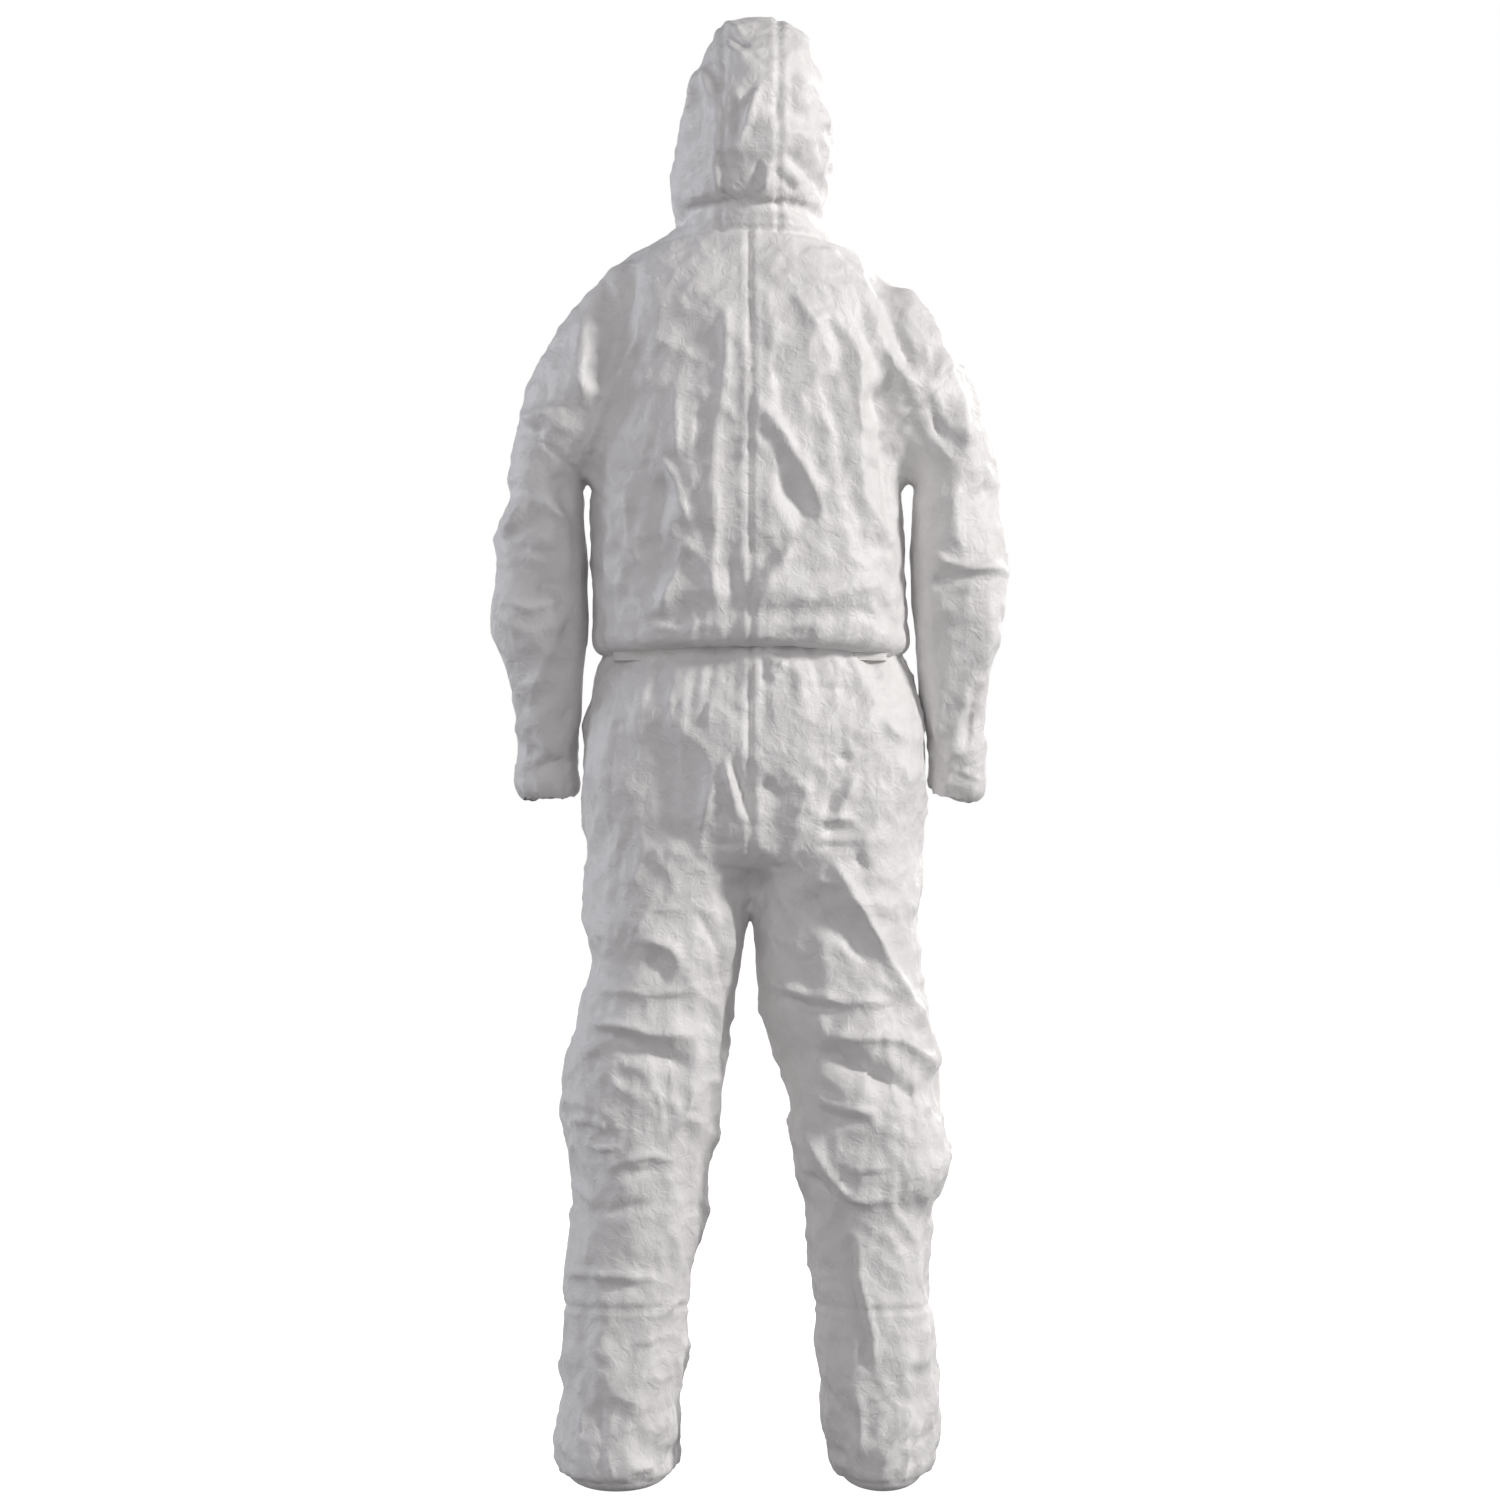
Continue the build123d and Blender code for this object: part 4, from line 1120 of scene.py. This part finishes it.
LOOKS = {
    "laminate": fabric_look("laminate", (0.80, 0.785, 0.78), (0.845, 0.835, 0.83), 0.52),
    "sole": fabric_look("sole", (0.76, 0.75, 0.745), (0.82, 0.81, 0.80), 0.62, 1.6),
    "elastic": fabric_look("elastic", (0.74, 0.73, 0.71), (0.83, 0.82, 0.80), 0.75, 1.8, 0.0008),
    "zip_tape": fabric_look("zip_tape", (0.76, 0.76, 0.765), (0.83, 0.83, 0.83), 0.7, 2.0, 0.0005),
    "zip_coil": plain_look("zip_coil", (0.78, 0.78, 0.79), (0.86, 0.86, 0.86), 0.32),
    "zip_metal": plain_look("zip_metal", (0.70, 0.70, 0.71), (0.80, 0.80, 0.80), 0.34, 0.35),
    "adhesive": plain_look("adhesive", (0.60, 0.63, 0.67), (0.72, 0.74, 0.77), 0.28),
    "label": fabric_look("label", (0.84, 0.84, 0.84), (0.88, 0.88, 0.88), 0.6, 1.4, 0.0004),
}


def looked(obj, slot):
    obj.data.materials.clear()
    obj.data.materials.append(LOOKS[slot])
    return obj


# Cloth pieces --------------------------------------------------------------------------------------
def bent(obj, share):
    """Bakes the piece's placement into its mesh; it follows no body. share is not used."""
    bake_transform(obj)


# For each panel: the bodies it joins, the share of the second, and the cut's width, length and area in
# metres
PANELS = {
    "hood_side": (("torso", "hood"), hood_share, (0.30, 0.33), 0.069),
    "hood_centre": (("torso", "hood"), hood_share, (0.072, 0.40), 0.0275),
    "back_panel": (("torso", "upper_arm"), body_share, (0.30, 0.54), 0.143),
    "front_panel": (("torso", "upper_arm"), body_share, (0.28, 0.53), 0.123),
    "sleeve_upper_left": (("torso", "upper_arm"), sleeve_share, (0.40, 0.16), 0.045),
    "sleeve_upper_right": (("torso", "upper_arm"), sleeve_share, (0.40, 0.23), 0.075),
    "sleeve_lower": (("upper_arm", "forearm"), elbow_share, (0.41, 0.31), 0.100),
    "trouser_back": (("torso", "thigh"), hip_share, (0.33, 0.46), 0.134),
    "trouser_front": (("torso", "thigh"), hip_share, (0.33, 0.46), 0.134),
    "leg_back": (("thigh", "shin"), knee_share, (0.33, 0.39), 0.120),
    "leg_front": (("thigh", "shin"), knee_share, (0.33, 0.39), 0.118),
    "sock_outer": ("shin", None, (0.30, 0.24), 0.068),
    "sock_inner": ("shin", None, (0.30, 0.24), 0.066),
    "sole_panel": ("shin", None, (0.13, 0.285), 0.029),
}


cloth = {}
for name, (p, n, first, faces) in made.items():
    kind, _, side = name.rpartition("_")
    if side not in SIDES:
        kind, side = name, None
    bodies, share, flat, area = PANELS.get(name) or PANELS[kind]
    piece = looked(thickened(f"cloth_{name}", p, n, faces), "sole" if kind == "sole_panel" else "laminate")
    if share:
        bent(piece, share(first))
    else:
        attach(piece, f"{bodies}_{side}")
    cloth[name] = piece


# Trims ---------------------------------------------------------------------------------------------
def swept(name, path, across, out, section, closed):
    """A solid strip: the section's (across, out) points are carried along the path."""
    rings = np.array([[c + u * a + v * o for u, v in s] for c, a, o, s in zip(path, across, out, section)])
    count, per = rings.shape[:2]
    faces = []
    for k in range(count if closed else count - 1):
        m = (k + 1) % count
        for i in range(per):
            j = (i + 1) % per
            faces.append((k * per + i, k * per + j, m * per + j, m * per + i))
    if not closed:
        faces += [tuple(range(per))[::-1], tuple(range((count - 1) * per, count * per))]
    obj = piece_mesh(name, rings.reshape(-1, 3), faces)
    editable = bmesh.new()
    editable.from_mesh(obj.data)
    bmesh.ops.recalc_face_normals(editable, faces=editable.faces)
    editable.to_mesh(obj.data)
    editable.free()
    return obj


def ribbed(width, thick, ribs, rib=0.0002):
    """Section of a woven band: ribs along its outer face, a flat back."""
    steps = ribs * 4
    u = np.linspace(-width / 2, width / 2, steps + 1)
    v = thick / 2 - rib + rib * np.cos(np.linspace(0, 2 * np.pi * ribs, steps + 1))
    return list(zip(u, v)) + [(width / 2, -thick / 2), (0, -thick / 2), (-width / 2, -thick / 2)]


def elastic_band(name, path, across, out, width, spacing, seed):
    """A band gathered by its own pull, closed on itself."""
    step = np.linalg.norm(np.roll(path, -1, axis=0) - path, axis=1)
    along = np.concatenate([[0], np.cumsum(step)[:-1]])
    fade = smooth(np.minimum(along, along[-1] - along) / 0.02)
    ripple = pleats(along, spacing, seed) * fade
    path = path + out * ripple[:, None] * 0.0005
    sections = [ribbed(width * (1 + 0.04 * r), 0.0013, 5) for r in ripple]
    return looked(swept(name, path, across, out, sections, True), "elastic")


def rim_path(pieces, field, centre, east, north, count):
    """Points round an opening's rim, in order, seen from its centre."""
    points = np.vstack([made[k][0][np.abs(field(made[k][2])) < 0.0006] for k in pieces])
    turn = np.arctan2((points - centre) @ north, (points - centre) @ east)
    order = np.argsort(turn)
    points, turn = points[order], turn[order]
    at = np.linspace(-np.pi, np.pi, count, endpoint=False)
    path = np.stack([np.interp(at, turn, points[:, k], period=2 * np.pi) for k in range(3)], axis=1)
    for _ in range(3):
        path = (path + np.roll(path, 1, axis=0) + np.roll(path, -1, axis=0)) / 3
    return path, at


for side, sign in SIDES.items():
    centre = np.array([sign * 0.2465, -0.005, 0.838])
    east, north = np.array([1.0, 0, 0]), np.array([0, 1.0, 0])
    path, turn = rim_path([f"sleeve_lower_{side}"], cuff_field(side), centre, east, north, 160)
    out = np.stack([np.cos(turn), np.sin(turn), 0 * turn], axis=1)
    up = np.tile([0.0, 0, 1], (len(path), 1))
    path = path - out * 0.0022 + up * 0.0062
    band = elastic_band(f"cuff_band_{side}", path, up, out, 0.010, 0.008, 31 + sign)
    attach(band, f"forearm_{side}")
    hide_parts(f"cuff_elastic_{side}")

hood_pieces = ["hood_side_left", "hood_side_right"]
path, turn = rim_path(hood_pieces, face_field, FACE_CENTRE, np.array([1.0, 0, 0]), FACE_UP, 220)
out = np.outer(np.cos(turn), [1, 0, 0]) + np.outer(np.sin(turn), FACE_UP)
inward = np.tile(-FACE_OUT, (len(path), 1))
band = elastic_band("face_band", path - out * 0.0022 + inward * 0.007, inward, out, 0.010, 0.010, 33)
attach(band, "hood")
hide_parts("hood_face_elastic")

low, high = (np.array(v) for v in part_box("waist_elastic"))
turn = np.linspace(0, 2 * np.pi, 260, endpoint=False)
middle, half = (low + high) / 2, (high - low) / 2
rim = oval((middle[0], middle[1], 0), (1, 0, 0), (0, 1, 0), half[0] - 0.015, half[1] - 0.013, 2.3, 260)
path = rim + np.array([0, 0, middle[2]])
out = np.roll(path, -1, axis=0) - np.roll(path, 1, axis=0)
out = np.stack([out[:, 1], -out[:, 0], 0 * out[:, 0]], axis=1)
out /= np.linalg.norm(out, axis=1, keepdims=True)
band = elastic_band("waist_band", path, np.tile([0.0, 0, 1], (260, 1)), out, 0.014, 0.016, 35)
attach(band, "torso")
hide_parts("waist_elastic")


def on_zip(x, along, out):
    """A point of the zip's own frame, in metres: across, up from the throat, and out of the chest."""
    return THROAT + np.array([x, 0, 0]) + ZIP_UP * along + ZIP_OUT * out


def zip_strip(name, near, far, start, end, back, front, ribs, wobble, seed):
    """A straight strip beside the zip, with lengthwise ribs and a slight waviness."""
    count = 260
    along = np.linspace(start, end, count)
    middle, width = (near + far) / 2, abs(far - near)
    path = np.array([on_zip(middle, a, (back + front) / 2) for a in along])
    path += np.outer(pleats(along, 0.016, seed) * wobble, ZIP_OUT)
    x_axis, z_axis = np.tile([1.0, 0, 0], (count, 1)), np.tile(ZIP_OUT, (count, 1))
    return swept(name, path, x_axis, z_axis, [ribbed(width, front - back, ribs)] * count, False)


for side, sign in SIDES.items():
    near, far = sign * 0.001, sign * 0.018
    tape = zip_strip(f"tape_{side}", near, far, -0.618, -0.014, -0.0029, -0.0020, 7, 0.0, 41)
    looked(tape, "zip_tape")
    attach(tape, "torso")
    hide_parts(f"zip_tape_{side}")
    turns, per = 310, 9
    angle = np.linspace(0, 2 * np.pi * turns, turns * per)
    along = np.linspace(-0.6175, -0.0145, turns * per)
    centre = np.array([on_zip(sign * (0.0023 - 0.00095 * math.cos(a)), z, -0.0009 + 0.0008 * math.sin(a))
                       for a, z in zip(angle, along)])
    flow = np.gradient(centre, axis=0)
    flow /= np.linalg.norm(flow, axis=1, keepdims=True)
    beside = np.cross(flow, ZIP_UP)
    beside /= np.linalg.norm(beside, axis=1, keepdims=True)
    over = np.cross(flow, beside)
    corners = np.linspace(0, 2 * np.pi, 6, endpoint=False)
    wire = [(0.00032 * math.cos(t), 0.00032 * math.sin(t)) for t in corners]
    coil = looked(swept(f"coil_{side}", centre, beside, over, [wire] * len(centre), False), "zip_coil")
    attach(coil, "torso")
    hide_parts(f"zip_teeth_{side}")


def hemmed_sheet(name, x_line, y_line, place, hem, seed):
    """A thin sheet with folded, stitched edges; place turns across, along and height into a point."""
    u, v = np.meshgrid(x_line, y_line, indexing="ij")
    inside = np.minimum(np.minimum(u - x_line[0], x_line[-1] - u), np.minimum(v - y_line[0], y_line[-1] - v))
    flat = np.stack([u.ravel() * 22, v.ravel() * 22, np.full(u.size, seed)], axis=1)
    height = 0.00035 * wave(flat, 1.0, seed).reshape(u.shape) + 0.00025 * (1 - smooth((inside - hem) / 0.001))
    height -= 0.00022 * bell(inside - hem * 0.8, 0.0008)
    top_face = np.array([place(a, b, h) for a, b, h in zip(u.ravel(), v.ravel(), height.ravel())])
    under = np.array([place(a, b, -0.0004) for a, b in zip(u.ravel(), v.ravel())])
    rows, columns = u.shape
    faces = [(i * columns + j, (i + 1) * columns + j, (i + 1) * columns + j + 1, i * columns + j + 1)
             for i in range(rows - 1) for j in range(columns - 1)]
    count = rows * columns
    uses = {(a, b) for face in faces for a, b in zip(face, face[1:] + face[:1])}
    rim = [(b, a, a + count, b + count) for a, b in uses if (b, a) not in uses]
    faces += [tuple(i + count for i in reversed(face)) for face in faces] + sorted(rim)
    obj = piece_mesh(name, np.vstack([top_face, under]), faces)
    editable = bmesh.new()
    editable.from_mesh(obj.data)
    bmesh.ops.recalc_face_normals(editable, faces=editable.faces)
    editable.to_mesh(obj.data)
    editable.free()
    for face in obj.data.polygons:
        face.use_smooth = face.index < len(faces) - len(rim)
    return obj


def edge_line(start, end, step):
    return np.linspace(start, end, int(abs(end - start) / step) + 1)


flap = hemmed_sheet("flap_sheet", edge_line(-0.038, 0.0304, 0.0012), edge_line(-0.626, -0.050, 0.003),
                    lambda a, b, h: on_zip(a, b, 0.0070 + h), 0.007, 51)
looked(flap, "laminate")
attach(flap, "flap")
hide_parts("storm_flap")
flap_edge = zip_strip("flap_edge", 0.0322, 0.038, -0.626, -0.050, 0.0004, 0.0060, 2, 0.0002, 53)
looked(flap_edge, "laminate")
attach(flap_edge, "torso")
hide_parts("storm_flap_seam")
sticky = zip_strip("flap_sticky", -0.036, -0.024, -0.61, -0.066, 0.0058, 0.0064, 3, 0.0, 55)
looked(sticky, "adhesive")
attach(sticky, "flap")
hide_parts("storm_flap_adhesive")

low, high = (np.array(v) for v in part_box("size_label"))


def on_label(a, b, h):
    """A point of the label, which curls a little from side to side."""
    return np.array([a, (low[1] + high[1]) / 2 - h + 0.0006 * math.sin(a * 130), b])


label_lines = [edge_line(low[k], high[k], 0.0008) for k in (0, 2)]
label = hemmed_sheet("blank_label", *label_lines, on_label, 0.003, 57)
looked(label, "label")
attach(label, "torso")
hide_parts("size_label")

for node, slot in (("zip_slider", "zip_metal"), ("zip_pull_tab", "zip_metal"), ("zip_stops", "zip_metal")):
    for obj in bpy.data.objects:
        if obj.type == "MESH" and (obj.name == node or obj.get("node") == node):
            obj.data.materials.clear()
            obj.data.materials.append(LOOKS[slot])

# What each cloth piece shows instead of, and its flat cut
NODES = {
    "hood_centre": ["hood_crown_centre", "hood_neck_centre"],
    "back_panel_": ["back_panel_", "shoulder_back_"],
    "front_panel_": ["front_panel_", "shoulder_front_"],
    "hood_side_": ["hood_crown_", "hood_neck_"],
    "sleeve_upper_": ["sleeve_upper_"],
    "sleeve_lower_": ["sleeve_elbow_", "sleeve_forearm_"],
    "trouser_back_": ["trouser_waist_back_", "trouser_seat_back_"],
    "trouser_front_": ["trouser_waist_front_", "trouser_seat_front_"],
    "leg_back_": ["trouser_thigh_back_", "trouser_knee_", "trouser_shin_back_"],
    "leg_front_": ["trouser_thigh_front_", "trouser_shin_front_"],
    "sock_outer_": ["sock_outer_"],
    "sock_inner_": ["sock_inner_"],
    "sole_panel_": ["sock_sole_"],
}
for name, piece in cloth.items():
    kind, _, side = name.rpartition("_")
    if side in SIDES:
        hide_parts(*[node + side for node in NODES[kind + "_"]])
    else:
        kind = name
        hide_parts(*NODES[name])
    flat, area = (PANELS.get(name) or PANELS[kind])[2:]

low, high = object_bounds()
